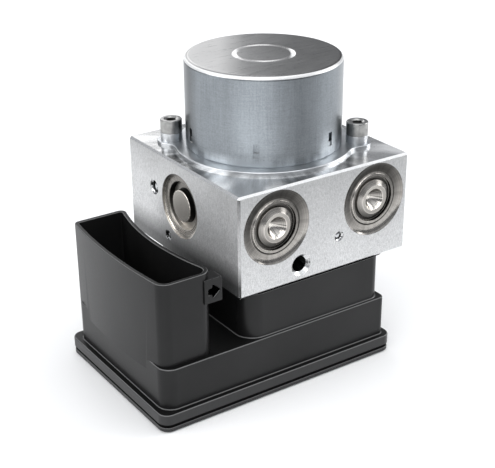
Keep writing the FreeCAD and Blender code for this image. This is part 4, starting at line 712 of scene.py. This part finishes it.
class Side(Enum):
    """A face of the module, by the way that it looks out and a way across it."""

    TOP = ((0, 0, 1), (1, 0, 0))
    FRONT = ((0, -1, 0), (1, 0, 0))
    LEFT = ((-1, 0, 0), (0, 1, 0))
    RIGHT = ((1, 0, 0), (0, 1, 0))


class Tool(Enum):
    """What a tool piece does to a piece."""

    ADD = "UNION"
    CUT = "DIFFERENCE"


class Bench:
    """Shapes meshes with Blender's modelling tools. Sizes are in millimetres."""

    def clear(self) -> None:
        """Leave edit mode and deselect everything."""
        if bpy.context.object and bpy.context.object.mode != "OBJECT":
            bpy.ops.object.mode_set(mode="OBJECT")
        bpy.ops.object.select_all(action="DESELECT")

    def hold(self, piece: bpy.types.Object) -> bpy.types.Object:
        """Select one piece and make it active."""
        self.clear()
        piece.select_set(True)
        bpy.context.view_layer.objects.active = piece
        return piece

    def line(self, name: str, points: Sequence[Vector]) -> bpy.types.Object:
        """Draw a line by extruding one vertex from point to point, and stay in edit mode.

        Args:
            name: the piece's name.
            points: its points.

        Returns:
            The piece.
        """
        self.clear()
        bpy.ops.mesh.primitive_plane_add(size=MM)
        piece = bpy.context.object
        piece.name = name
        bpy.ops.object.mode_set(mode="EDIT")
        bpy.ops.mesh.select_mode(type="VERT")
        bpy.ops.mesh.select_all(action="SELECT")
        bpy.ops.mesh.merge(type="CENTER")
        bpy.ops.transform.translate(value=points[0] * MM)
        for start, end in zip(points, points[1:]):
            bpy.ops.mesh.extrude_vertices_move(TRANSFORM_OT_translate={"value": (end - start) * MM})
        bpy.ops.mesh.select_all(action="SELECT")
        return piece

    def close(self, piece: bpy.types.Object) -> bpy.types.Object:
        """Merge doubled vertices, turn the faces outwards and leave edit mode."""
        bpy.ops.mesh.select_all(action="SELECT")
        bpy.ops.mesh.remove_doubles(threshold=0.002 * MM)
        bpy.ops.mesh.normals_make_consistent(inside=False)
        bpy.ops.object.mode_set(mode="OBJECT")
        return piece

    def turned(self, name: str, section: Sequence[Vector], centre: tuple = (0, 0, 0),
               side: Side = Side.TOP, steps: int = 96) -> bpy.types.Object:
        """Spin a half section about an axis.

        Args:
            name: the piece's name.
            section: (radius, height) points from the axis round to the axis, or a closed ring.
            centre: where the axis meets height nought.
            side: the way that height points.
            steps: steps round.

        Returns:
            The turned piece.
        """
        out, across = (Vector(way) for way in side.value)
        points = [Vector(centre) + across * radius + out * height for radius, height in section]
        piece = self.line(name, points)
        bpy.ops.mesh.spin(steps=steps, angle=2 * math.pi, center=Vector(centre) * MM, axis=out)
        return self.close(piece)

    def stack(self, name: str, draw: Callable[[float], list], profile: Sequence[tuple]) -> bpy.types.Object:
        """Raise an outline through a profile of insets and heights.

        Args:
            name: the piece's name.
            draw: gives the outline's points at an inset.
            profile: (inset, height) pairs from the lower face to the last one.

        Returns:
            The closed piece.
        """
        inset, height = profile[0]
        piece = self.line(name, [Vector((*spot, height)) for spot in draw(inset)])
        bpy.ops.mesh.edge_face_add()
        bpy.ops.mesh.select_mode(type="FACE")
        self.raise_face(profile)
        return self.close(piece)

    def raise_face(self, profile: Sequence[tuple]) -> None:
        """Carry the selected face through a profile of insets and heights."""
        for (inset, height), (following, top) in zip(profile, profile[1:]):
            rise = (0, 0, (top - height) * MM)
            if abs(following - inset) < 1e-6:
                bpy.ops.mesh.extrude_region_move(TRANSFORM_OT_translate={"value": rise})
                continue
            bpy.ops.mesh.inset(thickness=abs(following - inset) * MM, use_outset=following < inset)
            if abs(top - height) > 1e-6:
                bpy.ops.transform.translate(value=rise)

    def slab(self, name: str, points: Sequence[Vector], low: float, high: float) -> bpy.types.Object:
        """Raise a plain slab from an outline."""
        return self.stack(name, lambda inset: points, [(0, low), (0, high)])

    def combine(self, piece: bpy.types.Object, tool: bpy.types.Object, use: Tool) -> bpy.types.Object:
        """Join a tool piece to a piece, or cut it away, and drop the tool.

        Args:
            piece: the piece that stays.
            tool: the piece that is used up.
            use: what the tool does.

        Returns:
            The piece.
        """
        self.hold(piece)
        boolean = piece.modifiers.new("tool", "BOOLEAN")
        boolean.operation = use.value
        boolean.object = tool
        boolean.solver = "EXACT"
        bpy.ops.object.modifier_apply(modifier=boolean.name)
        bpy.data.objects.remove(tool)
        return piece

    def drill(self, piece: bpy.types.Object, centre: tuple, radius: float, low: float, high: float) -> None:
        """Drill an upright hole in a piece from one height to another."""
        section = [Vector(spot) for spot in ((0, high), (radius, high), (radius, low), (0, low))]
        self.combine(piece, self.turned("bore", section, centre, steps=48), Tool.CUT)

    def soften(self, piece: bpy.types.Object, width: float) -> None:
        """Round a piece's sharp edges.

        Args:
            piece: the piece.
            width: how far the rounding reaches.
        """
        self.hold(piece)
        bevel = piece.modifiers.new("bevel", "BEVEL")
        bevel.width = width * MM
        bevel.segments = 2
        bevel.limit_method = "ANGLE"
        bevel.angle_limit = math.radians(35.0)
        bevel.miter_outer = "MITER_ARC"
        bpy.ops.object.modifier_apply(modifier=bevel.name)

    def smooth(self, piece: bpy.types.Object, angle: float = 40.0) -> None:
        """Shade a piece smooth up to an angle, with its flat faces kept flat."""
        self.hold(piece)
        bpy.ops.object.shade_smooth_by_angle(angle=math.radians(angle))
        weigh = piece.modifiers.new("weigh", "WEIGHTED_NORMAL")
        weigh.keep_sharp = True
        bpy.ops.object.modifier_apply(modifier=weigh.name)

    def join(self, pieces: Sequence[bpy.types.Object], name: str) -> bpy.types.Object:
        """Join pieces to one mesh."""
        self.hold(pieces[0])
        for piece in pieces:
            piece.select_set(True)
        bpy.ops.object.join()
        pieces[0].name = name
        return pieces[0]


class Shop:
    """The bench and the wardrobe together, and how a finished piece is handed over."""

    def __init__(self) -> None:
        """Open the shop."""
        self.bench = Bench()
        self.wardrobe = Wardrobe()

    def deliver(self, piece: bpy.types.Object, finish: Finish, slot: str, nodes: Sequence[str] = (),
                smooth: float = 40.0) -> bpy.types.Object:
        """Finish a piece, fix it to the module and let it stand for CAD nodes.

        Args:
            piece: the piece.
            finish: its finish.
            slot: the record's material slot; not used.
            nodes: the CAD nodes that it replaces.
            smooth: least angle of an edge that stays sharp.

        Returns:
            The piece.
        """
        self.bench.smooth(piece, smooth)
        self.wardrobe.dress(piece, finish)
        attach(piece, "module")
        if nodes:
            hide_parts(*nodes)
        LOG.info("built %s", piece.name)
        return piece


def crest(inset: float, top: float, radius: float, fine: int = 4) -> list:
    """(inset, height) points of a rounded upper edge, from the wall to the face beside it."""
    turns = [math.pi / 2 * step / fine for step in range(fine + 1)]
    return [(inset + radius * (1 - math.cos(turn)), top - radius * (1 - math.sin(turn))) for turn in turns]


def foot(inset: float, low: float, radius: float, fine: int = 4) -> list:
    """(inset, height) points of a hollow fillet, from the face up to the wall on it."""
    turns = [math.pi / 2 * step / fine for step in range(fine + 1)]
    return [(inset - radius * (1 - math.sin(turn)), low + radius * (1 - math.cos(turn))) for turn in turns]


def heading(start: Vector, end: Vector) -> float:
    """The direction from one point to another in degrees."""
    return math.degrees(math.atan2(end.y - start.y, end.x - start.x))


def arc(middle: Vector, radius: float, start: float, end: float, fine: int) -> list:
    """Points along an arc, with its angles in degrees."""
    turns = [math.radians(start + (end - start) * step / fine) for step in range(fine + 1)]
    return [middle + Vector((math.cos(turn), math.sin(turn))) * radius for turn in turns]


@dataclass
class PumpMotor:
    """The drawn can, the end plate with its two ears, and the screws."""

    shop: Shop
    seat: float = 90.8
    plate: float = 1.4
    plate_radius: float = 38.2
    ear: tuple = (31.2, 24.3)
    ear_radius: float = 6.2
    ear_blend: float = 9.0
    boss_radius: float = 4.7
    boss_height: float = 4.8
    screw_hole: float = 3.05
    shaft_hole: float = 11.5
    lead_hole: float = 4.05
    lead: tuple = (0, 20, 0)
    radius: float = 33.2
    wall: float = 1.8
    top: float = 130.2
    top_round: float = 2.2
    bead: tuple = (11.1, 13.4, 0.5)
    bearing_seat: tuple = (8.0, 10.0, 6.8)
    lances: int = 6
    lance_turn: float = -130.0
    lance_size: tuple = (2.4, 5.9)
    lance_low: float = 96.4
    lance_sill: float = 1.9
    lance_depths: tuple = (0.4, 1.4)
    head_radius: float = 4.7
    head_height: float = 5.7
    shank: float = 3.0
    bite: float = 7.5
    hexagon: float = 2.3
    hexagon_depth: float = 3.0

    def build(self) -> None:
        """Build the motor's outer pieces."""
        self.can()
        self.end_plate()
        self.screws()

    def can(self) -> None:
        """Turn the can, then cut its lances."""
        bench, low = self.shop.bench, self.seat + self.plate
        inner, outer, depth = self.bead
        tube, sleeve, long = self.bearing_seat
        roof, half = self.top - self.wall, (outer - inner) / 2
        bow = (half ** 2 + depth ** 2) / (2 * depth)
        open_half = math.degrees(math.asin(half / bow))
        groove = arc(Vector(((inner + outer) / 2, self.top - depth + bow)), bow, 270 - open_half,
                     270 + open_half, 12)
        section = [Vector((0.0, self.top)), *groove, *rounded([
            (outer + 0.4, self.top), (self.radius, self.top, self.top_round), (self.radius, low + 0.5, 0.3),
            (self.radius - 0.3, low), (self.radius - self.wall, low), (self.radius - self.wall, roof, 1.2),
            (sleeve, roof), (sleeve, roof - long), (tube, roof - long), (tube, roof), (0.0, roof)])]
        can = bench.turned("motor_can_shell", section, steps=128)
        for number in range(self.lances):
            self._lance(can, math.radians(self.lance_turn + 360.0 / self.lances * number))
        self.shop.deliver(can, Finish.CAN, "zinc_can", ["motor_can"], 35.0)

    def _lance(self, can: bpy.types.Object, turn: float) -> None:
        """Press a window into the wall, deeper over a low sill.

        Args:
            can: the can.
            turn: where the lance is round the can, in radians.
        """
        wide, tall = self.lance_size
        clear = self.radius + 2
        for depth, sill in zip(self.lance_depths, (0.0, self.lance_sill)):
            near = self.radius - depth
            spots = [Vector((out, across)) for out, across in (
                (near, -wide / 2), (clear, -wide / 2), (clear, wide / 2), (near, wide / 2))]
            for spot in spots:
                spot.rotate(Matrix.Rotation(turn, 2))
            low, high = self.lance_low + sill, self.lance_low + tall
            self.shop.bench.combine(can, self.shop.bench.slab("lance_cutter", spots, low, high), Tool.CUT)

    def end_plate(self) -> None:
        """Raise the plate from its eared outline, and put the bosses on it."""
        bench, top = self.shop.bench, self.seat + self.plate
        points = self._plate_outline()
        plate = bench.stack("motor_end_plate", lambda inset: points,
                            [(0.0, self.seat), (0.0, top - 0.5), *crest(0.0, top, 0.5)[1:]])
        high, wide = self.seat + self.boss_height, self.boss_radius
        boss = rounded([(0.0, high), (wide, high, 0.3), (wide, top - 0.5), (0.0, top - 0.5)])
        for ear in self._ears():
            bench.combine(plate, bench.turned("boss", boss, (*ear, 0.0), steps=64), Tool.ADD)
            bench.drill(plate, (*ear, 0.0), self.screw_hole, self.seat - 1, high + 1)
        for radius, centre in ((self.shaft_hole, (0, 0, 0)), (self.lead_hole, self.lead)):
            bench.drill(plate, centre, radius, self.seat - 1, top + 1)
        self.shop.deliver(plate, Finish.PLATE, "zinc_plate", ["motor_plate"], 35.0)

    def _ears(self) -> list:
        """The middles of the two ears."""
        return [Vector((side * self.ear[0], -side * self.ear[1])) for side in (-1, 1)]

    def _plate_outline(self) -> list:
        """Draw the disc with its two ears, blended by hollow arcs.

        Returns:
            The outline's points.
        """
        blend, middle, points = self.ear_blend, Vector((0, 0)), []

        def hollow(spot: Vector, start: Vector, end: Vector) -> list:
            """A blend's arc, from where it leaves one arc to where it meets the next."""
            begin = heading(spot, start)
            swing = (heading(spot, end) - begin + 180) % 360 - 180
            return arc(spot, blend, begin, begin + swing, 8)

        for ear in self._ears():
            first, second = self.plate_radius + blend, self.ear_radius + blend
            along = (first ** 2 - second ** 2 + ear.length ** 2) / (2 * ear.length)
            away = math.sqrt(first ** 2 - along ** 2)
            way = ear.normalized()
            across = Vector((-way.y, way.x))
            before, after = (way * along + across * away * sign for sign in (-1, 1))
            begin = heading(ear, before)
            sweep = (heading(ear, after) - begin) % 360
            points += [*hollow(before, middle, ear),
                       *arc(ear, self.ear_radius, begin, begin + sweep, 16)[1:-1],
                       *hollow(after, ear, middle)]
            begin = heading(middle, after)
            sweep = (heading(before, middle) - begin) % 360
            points += arc(middle, self.plate_radius, begin, begin + sweep, 48)[1:-1]
        return points

    def screws(self) -> None:
        """Turn a socket head screw over each ear and cut its hexagon."""
        bench, low = self.shop.bench, self.seat + self.boss_height
        high, wide, thin = low + self.head_height, self.head_radius, self.shank
        tip, dish = self.seat - self.bite, high - 0.5
        section = rounded([(0.0, tip), (2.6, tip), (thin, tip + 0.4), (thin, low), (wide, low, 0.25),
                           (wide, high, 0.55), (thin, high, 0.1), (2.2, dish), (0.0, dish)])
        both = []
        for ear in self._ears():
            screw = bench.turned("motor_screw", section, (*ear, 0.0), steps=64)
            corners = arc(ear, self.hexagon, 0, 300, 5)
            hexagon = bench.slab("hexagon", corners, high - self.hexagon_depth, high + 1)
            bench.combine(screw, hexagon, Tool.CUT)
            both.append(screw)
        screws = bench.join(both, "motor_socket_screws")
        self.shop.deliver(screws, Finish.SCREW, "screw_steel", ["motor_screws"], 30.0)


@dataclass
class PressedCaps:
    """Round caps on the block's front and the closing plugs in its sides."""

    shop: Shop
    steps: int = 128

    def build(self) -> None:
        """Build both caps and both plugs."""
        for name, side in (("left", Side.LEFT), ("right", Side.RIGHT)):
            out = side.value[0][0]
            spot = (out * CAP_ACROSS, BLOCK[0][1], CAP_HEIGHT)
            cap = self.shop.bench.turned("cap_" + name, self._cap(), spot, Side.FRONT, self.steps)
            self.shop.deliver(cap, Finish.CAP, "plated_caps", ["accumulator_cap_" + name], 50.0)
            spot = (out * BLOCK[1][0], 0.0, PLUG_HEIGHT)
            plug = self.shop.bench.turned("plug_" + name, self._plug(), spot, side, self.steps)
            self.shop.deliver(plug, Finish.PLUG, "plated_caps", ["pump_plug_" + name], 50.0)

    @staticmethod
    def _cap() -> list:
        """Half section of a cap, out of the block's face."""
        return [*rounded([
            (0.0, -6.0), (4.75, 0.2, 0.15), (6.2, 0.3, 0.3), (8.3, -0.9, 0.3), (8.5, -2.0, 0.2),
            (9.8, -2.0, 0.2), (9.9, -0.6, 0.2), (11.0, -0.6, 0.2), (11.2, -1.1)]),
            *arc(Vector((11.83, 6.32)), 7.45, 265.2, 300.4, 10),
            *rounded([(15.7, -0.05), (15.8, -0.3), (15.8, -6.0), (8.75, -6.0), (8.75, -8.0), (0.0, -8.0)])]

    @staticmethod
    def _plug() -> list:
        """Half section of a plug, out of the block's side."""
        return [*rounded([
            (0.0, -1.0), (7.0, -1.0, 0.35), (7.0, -3.6, 0.2), (10.25, -3.6, 0.2), (10.4, -1.5, 0.3),
            (11.1, -1.65)], 4),
            *arc(Vector((11.0, 4.4)), 6.1, -84.0, -53.0, 8)[1:],
            *rounded([(14.0, -0.35), (14.0, -6.0), (0.0, -6.0)])]


@dataclass
class DrillingPlugs:
    """Steel balls pressed into the closed drillings, with the hole's edge staked over them.

    Each drilling is (side, across, height, radius) on the block.
    """

    shop: Shop
    sink: float = 0.8
    lip: float = 0.75
    stakes: int = 4
    drillings: tuple = ((Side.FRONT, 6.75, 61.9, 2.3), (Side.LEFT, 20.5, 73.7, 3.3),
                        (Side.LEFT, 10.1, 55.0, 2.4), (Side.RIGHT, 20.5, 73.7, 3.3))

    def build(self) -> None:
        """Turn the balls and their staked edges and deliver each set."""
        balls, edges = [], []
        for side, across, height, radius in self.drillings:
            out = side.value[0][0] * BLOCK[1][0]
            centre = (across, BLOCK[0][1], height) if side is Side.FRONT else (out, across, height)
            deep = radius + self.sink
            half = [Vector(spot) for spot in arc(Vector((0.0, -deep)), radius - 0.03, 90, -90, 16)]
            half[0].x = half[-1].x = 0.0
            balls.append(self.shop.bench.turned("ball", half, centre, side, 48))
            edges.append(self._edge(centre, side, radius))
        ball_set = self.shop.bench.join(balls, "plug_balls")
        self.shop.deliver(ball_set, Finish.STEEL, "hard_steel", ["ball_plugs"], 50.0)
        edge_set = self.shop.bench.join(edges, "staked_edges")
        self.shop.deliver(edge_set, Finish.STAKED, "block_aluminium", (), 30.0)

    def _edge(self, centre: tuple, side: Side, radius: float) -> bpy.types.Object:
        """Turn the lip that was pressed over a ball, and dent it.

        Args:
            centre: the drilling's mouth.
            side: the side that it opens on.
            radius: the drilling's radius.

        Returns:
            The lip.
        """
        bench, inner, outer, deep = self.shop.bench, radius - self.lip, radius - 0.02, -self.lip
        section = rounded([(inner, deep), (inner + 0.25, -0.5, 0.1), (outer, -0.1, 0.1), (outer, -1.3)])
        lip = bench.turned("lip", section, centre, side, 48)
        dent = [Vector(spot) for spot in ((0.0, 0.5), (0.42, 0.5), (0.3, deep), (0.0, deep))]
        for number in range(self.stakes):
            turn = math.radians(30 + 360 / self.stakes * number)
            spot = Vector((math.cos(turn), math.sin(turn))) * (radius - 0.35)
            place = Vector(centre)
            place.z += spot.y
            place[0 if side is Side.FRONT else 1] += spot.x
            bench.combine(lip, bench.turned("dent", dent, tuple(place), side, 12), Tool.CUT)
        return lip


@dataclass
class ControlUnit:
    """The moulded housing with its neck and plug socket, and the lid under it."""

    shop: Shop
    low: float = 3.3
    flange_top: float = 8.1
    ledge: float = 26.3
    neck_top: float = 46.3
    body: tuple = ((-78.6, -45.1), (32.9, 30.6))
    body_corners: tuple = (6.0, 2.6, 2.6, 6.0)
    neck: tuple = ((-38.8, -43.5), (30.7, 28.4))
    neck_corners: tuple = (8.0, 4.5, 4.5, 8.0)
    lip_reach: float = 3.2
    overhang: float = 3.2
    flange_corner: float = 5.0
    wall: float = 2.4
    socket_left: float = -81.8
    socket_right: float = -56.2
    socket_front: float = -44.75
    socket_back: float = 32.15
    socket_middle: float = -6.0
    outer_bow: float = 250.0
    inner_bow: float = 120.0
    front_corner: float = 7.0
    back_corner: float = 4.5
    socket_wall: float = 1.8
    rim: float = 62.5
    root: float = 21.3
    floor: float = 30.0
    arrow_height: float = 5.0
    arrow_edge: float = 0.9
    arrow_head: float = 3.6
    arrow_length: float = 5.6
    arrow_halves: tuple = (3.2, 1.4)
    lid_top: float = 2.1
    lid_round: float = 0.6

    def build(self) -> None:
        """Build the housing and the lid."""
        self.housing()
        self.lid()

    def _flange(self) -> Callable[[float], list]:
        """Outline of the flange at any inset."""
        low = tuple(value - self.overhang for value in self.body[0])
        high = tuple(value + self.overhang for value in self.body[1])
        return box_outline(low, high, [self.flange_corner] * 4, 10)

    def housing(self) -> None:
        """Join flange, body, neck, lip, socket and lug, then hollow them from below."""
        bench = self.shop.bench
        shell = bench.stack("control_housing", self._flange(), [
            (0.5, self.low), (0.0, self.low + 0.4), *crest(0.0, self.flange_top, 0.6)])
        body = box_outline(*self.body, self.body_corners, 10)
        neck = box_outline(*self.neck, self.neck_corners, 10)
        (left, front), (right, back) = self.neck
        right += self.lip_reach
        lip = box_outline((left - 0.05, front - 0.05), (right, back + 0.05), self.neck_corners, 10)
        for name, outline, profile in (
                ("body", body, [(-0.5, self.flange_top - 0.5), *foot(0.0, self.flange_top, 0.5),
                                *crest(0.0, self.ledge, 0.6)]),
                ("neck", neck, [(-0.6, self.ledge - 0.5), *foot(0.0, self.ledge, 0.6),
                                *crest(0.0, self.neck_top, 0.4, 3)]),
                ("lip", lip, [(self.lip_reach, self.neck_top - 2.6), (0.1, self.neck_top - 1.4),
                              (0.0, self.neck_top - 1.2), *crest(0.0, self.neck_top - 0.02, 0.3, 3)])):
            bench.combine(shell, bench.stack(name, outline, profile), Tool.ADD)
        for tool in (self._socket(), self._lug()):
            bench.combine(shell, tool, Tool.ADD)
        for name, outline, low, high in (("cavity", body, 1.0, self.ledge - self.wall),
                                         ("bore", neck, self.ledge - 4, self.neck_top + 1)):
            hollow = bench.stack(name, outline, [(self.wall, low), (self.wall, high)])
            bench.combine(shell, hollow, Tool.CUT)
        self.shop.deliver(shell, Finish.SHELL, "black_polymer", ["ecu_housing"], 32.0)

    def _socket_outline(self, inset: float) -> list:
        """Draw the socket's outline, whose two long walls bow the same way.

        Args:
            inset: how far it is moved inwards.

        Returns:
            The outline's points.
        """
        outer_bow, inner_bow = self.outer_bow - inset, self.inner_bow + inset
        front, back = self.front_corner - inset, self.back_corner - inset
        outer = Vector((self.socket_left + inset + outer_bow, self.socket_middle))
        inner = Vector((self.socket_right - inset + inner_bow, self.socket_middle))
        spots = {}
        for end, corner, along in (("front", front, self.socket_front + inset + front),
                                   ("back", back, self.socket_back - inset - back)):
            rise = along - self.socket_middle
            spots[end] = (Vector((outer.x - math.sqrt((outer_bow - corner) ** 2 - rise ** 2), along)),
                          Vector((inner.x - math.sqrt((inner_bow + corner) ** 2 - rise ** 2), along)))
        (front_left, front_right), (back_left, back_right) = spots["front"], spots["back"]
        right_low, right_high = heading(inner, front_right) % 360, heading(inner, back_right) % 360
        left_high, left_low = heading(outer, back_left) % 360, heading(outer, front_left) % 360
        return [*arc(front_left, front, left_low, 270, 8),
                *arc(front_right, front, 270, right_low + 180, 8),
                *arc(inner, inner_bow, right_low, right_high, 24)[1:-1],
                *arc(back_right, back, right_high - 180, 90, 8), *arc(back_left, back, 90, left_high, 8),
                *arc(outer, outer_bow, left_high, left_low, 16)[1:-1]]

    def _socket(self) -> bpy.types.Object:
        """Raise the socket from its tapered root over its rim and down to its floor."""
        inner = [(self.socket_wall - inset, height) for inset, height in reversed(crest(0.0, self.rim, 0.4))]
        return self.shop.bench.stack("socket", self._socket_outline, [
            (1.9, self.root - 2.9), (1.7, self.root - 2.6), (0.15, self.root - 0.1), (0.0, self.root + 0.2),
            *crest(0.0, self.rim, 0.4), *inner, (self.socket_wall, self.floor)])

    def _lug(self) -> bpy.types.Object:
        """Make the latch lug at the socket's front corner, with its arrow notch."""
        bench, ((left, front, low), (right, back, high)) = self.shop.bench, LUG
        corners = [Vector(spot) for spot in ((left, front), (right, front), (right, back), (left, back))]
        lug = bench.slab("lug", corners, low, high)
        middle, tip = low + self.arrow_height, right - self.arrow_edge
        neck, tail = tip - self.arrow_head, tip - self.arrow_length
        wide, thin = self.arrow_halves
        notch = bench.line("notch", [Vector((across, front - 1, middle + up)) for across, up in (
            (neck, -wide), (tip, 0), (neck, wide), (neck, thin), (tail, thin), (tail, -thin), (neck, -thin))])
        bpy.ops.mesh.edge_face_add()
        bpy.ops.mesh.extrude_region_move(TRANSFORM_OT_translate={"value": (0, 6.0 * MM, 0)})
        bench.close(notch)
        bench.combine(lug, notch, Tool.CUT)
        bench.soften(lug, 0.6)
        return lug

    def lid(self) -> None:
        """Raise the lid, with its lower edge rounded."""
        high, edge = self.lid_top, self.lid_round
        lower = [(0.1 + edge * (1 - math.sin(turn)), edge * (1 - math.cos(turn)))
                 for turn in (math.pi / 8 * step for step in range(5))]
        profile = [*lower, (0.1, high - 0.2), (0.3, high)]
        lid = self.shop.bench.stack("control_lid", self._flange(), profile)
        self.shop.deliver(lid, Finish.LID, "cover_polymer", ["ecu_cover"], 32.0)


@dataclass
class Springs:
    """The coil springs of the accumulator pistons and the brushes."""

    shop: Shop
    turns: int = 5
    facets: int = 12
    steps: int = 32
    accumulator_wire: float = 0.8
    accumulator_travel: float = 8.0
    brush_wire: float = 0.3
    brush_travel: float = 3.0

    def build(self) -> None:
        """Wind a spring in the place of each CAD one that a joint presses."""
        for hand, way in (("left", -1.0), ("right", 1.0)):
            self._wind(f"accumulator_spring_{hand}", Vector((0, -1, 0)),
                       self.accumulator_wire)
            self._wind(f"brush_spring_{hand}", Vector((way, 0, 0)),
                       self.brush_wire)

    def _wind(self, node: str, way: Vector, wire: float) -> None:
        """Wind one spring to its CAD node's size.

        Args:
            node: the CAD spring.
            way: where the joint moves, which is towards the spring's fixed end.
            wire: the wire's thickness in millimetres.
        """
        low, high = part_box(node)
        length, thick = abs((high - low).dot(way)), wire / 2 * MM
        fixed = (low + high) / 2 + way * (length / 2)
        self.shop.bench.clear()
        bpy.ops.mesh.primitive_circle_add(vertices=self.facets, radius=thick, rotation=(math.pi / 2, 0, 0),
                                          location=((high.z - low.z) / 2 - thick, 0, 0))
        spring = bpy.context.active_object
        spring.name = node.replace("spring", "coil")
        bpy.ops.object.transform_apply()
        screw = spring.modifiers.new("winding", "SCREW")
        screw.screw_offset, screw.iterations = (length - 2 * thick) / self.turns, self.turns
        screw.steps = screw.render_steps = self.steps
        bpy.ops.object.modifier_apply(modifier=screw.name)
        bpy.ops.object.mode_set(mode="EDIT")
        bpy.ops.mesh.select_all(action="SELECT")
        bpy.ops.mesh.fill_holes(sides=0)
        self.shop.bench.close(spring)
        spring.rotation_euler = Vector((0, 0, 1)).rotation_difference(-way).to_euler()
        spring.location = fixed - way * thick
        bpy.ops.object.transform_apply()
        self.shop.deliver(spring, Finish.WIRE, "spring_steel", [node], 60.0)
        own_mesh(spring)


@dataclass(frozen=True)
class Lamp:
    """A square soft lamp by its bearing and height about the module, in degrees and metres."""

    name: str
    bearing: float
    height: float
    away: float
    size: float
    power: float

    def hang(self, aim: Vector) -> None:
        """Hang the lamp and point it at the module.

        Args:
            aim: what it points at.
        """
        data = bpy.data.lights.new(self.name, "AREA")
        data.size = self.size
        data.energy = self.power
        lamp = bpy.data.objects.new(self.name, data)
        bpy.context.scene.collection.objects.link(lamp)
        turn, rise = math.radians(self.bearing), math.radians(self.height)
        way = Vector((math.cos(turn) * math.cos(rise), math.sin(turn) * math.cos(rise), math.sin(rise)))
        lamp.location = aim + way * self.away
        lamp.rotation_euler = (-way).to_track_quat("-Z", "Y").to_euler()


@dataclass
class Studio:
    """Pale floor, soft lamps and the camera at the photograph's view."""

    eye: tuple = (-0.26271, -0.37502, 0.25999)
    turn: tuple = (65.141, 0.391, -34.291)
    lens: float = 82.74
    floor_half: float = 3.0
    floor_colour: tuple = (0.92, 0.92, 0.92)
    horizon: tuple = (0.16, 0.165, 0.175)
    zenith: tuple = (0.92, 0.94, 0.97)
    lamps: tuple = (
        Lamp("left_box", 168.0, 24.0, 1.4, 0.9, 7.5),
        Lamp("right_box", -18.0, 22.0, 1.4, 0.8, 8.0),
        Lamp("front_box", -136.0, 42.0, 1.7, 1.1, 7.0),
        Lamp("back_box", 78.0, 24.0, 1.4, 0.75, 3.4),
        Lamp("top_box", -60.0, 80.0, 1.7, 1.4, 8.0),
    )

    def build(self) -> None:
        """Make the floor, world, lamps and camera."""
        self._floor()
        self._world()
        for lamp in self.lamps:
            lamp.hang(Vector((0.0, 0.0, 0.07)))
        self._camera()

    def _floor(self) -> None:
        """Lay the pale floor."""
        bpy.ops.mesh.primitive_plane_add(size=2 * self.floor_half, location=(0.0, 0.0, 0.0))
        floor = bpy.context.object
        floor.name = "studio_floor"
        shades = Shades("studio_floor")
        floor.data.materials.append(shades.finish(Base_Color=self.floor_colour, Roughness=0.9))

    def _world(self) -> None:
        """Light the surroundings from a grey horizon up to a pale sky."""
        world = bpy.data.worlds.new("studio")
        bpy.context.scene.world = world
        world.use_nodes = True
        tree = world.node_tree
        back = next(n for n in tree.nodes if n.type == "BACKGROUND")
        place = tree.nodes.new("ShaderNodeTexCoord")
        split = tree.nodes.new("ShaderNodeSeparateXYZ")
        ramp = tree.nodes.new("ShaderNodeValToRGB")
        tree.links.new(place.outputs["Generated"], split.inputs[0])
        tree.links.new(split.outputs[2], ramp.inputs[0])
        tree.links.new(ramp.outputs[0], back.inputs[0])
        ramp.color_ramp.elements[0].color = (*self.horizon, 1.0)
        ramp.color_ramp.elements[1].color = (*self.zenith, 1.0)
        ramp.color_ramp.elements[0].position = 0.15

    def _camera(self) -> None:
        """Set the camera where the photograph was taken from."""
        data = bpy.data.cameras.new("photo_view")
        data.lens = self.lens
        data.sensor_width = 36.0
        data.clip_start = 0.01
        camera = bpy.data.objects.new("photo_view", data)
        camera.location = self.eye
        camera.rotation_euler = Euler([math.radians(angle) for angle in self.turn])
        bpy.context.scene.collection.objects.link(camera)
        bpy.context.scene.camera = camera


def dress_nodes(wardrobe: Wardrobe) -> None:
    """Give every CAD node the finish of its slot.

    Args:
        wardrobe: where the materials come from.
    """
    slots = {row["node"]: row["material_slot"] for row in frame["record"]["subparts"]}
    for name, node in frame["nodes"].items():
        wardrobe.dress(node, SLOT_FINISH[slots[name]])
        LOG.info("dressed %s", name)


def main() -> None:
    """Build the scene."""
    logging.basicConfig(level=logging.INFO)
    bpy.ops.object.select_all(action="DESELECT")
    bpy.context.scene.view_settings.view_transform = "Standard"
    Studio().build()
    shop = Shop()
    dress_nodes(shop.wardrobe)
    PumpMotor(shop).build()
    DrillingPlugs(shop).build()
    PressedCaps(shop).build()
    ControlUnit(shop).build()
    Springs(shop).build()


if __name__ == "__main__":
    main()
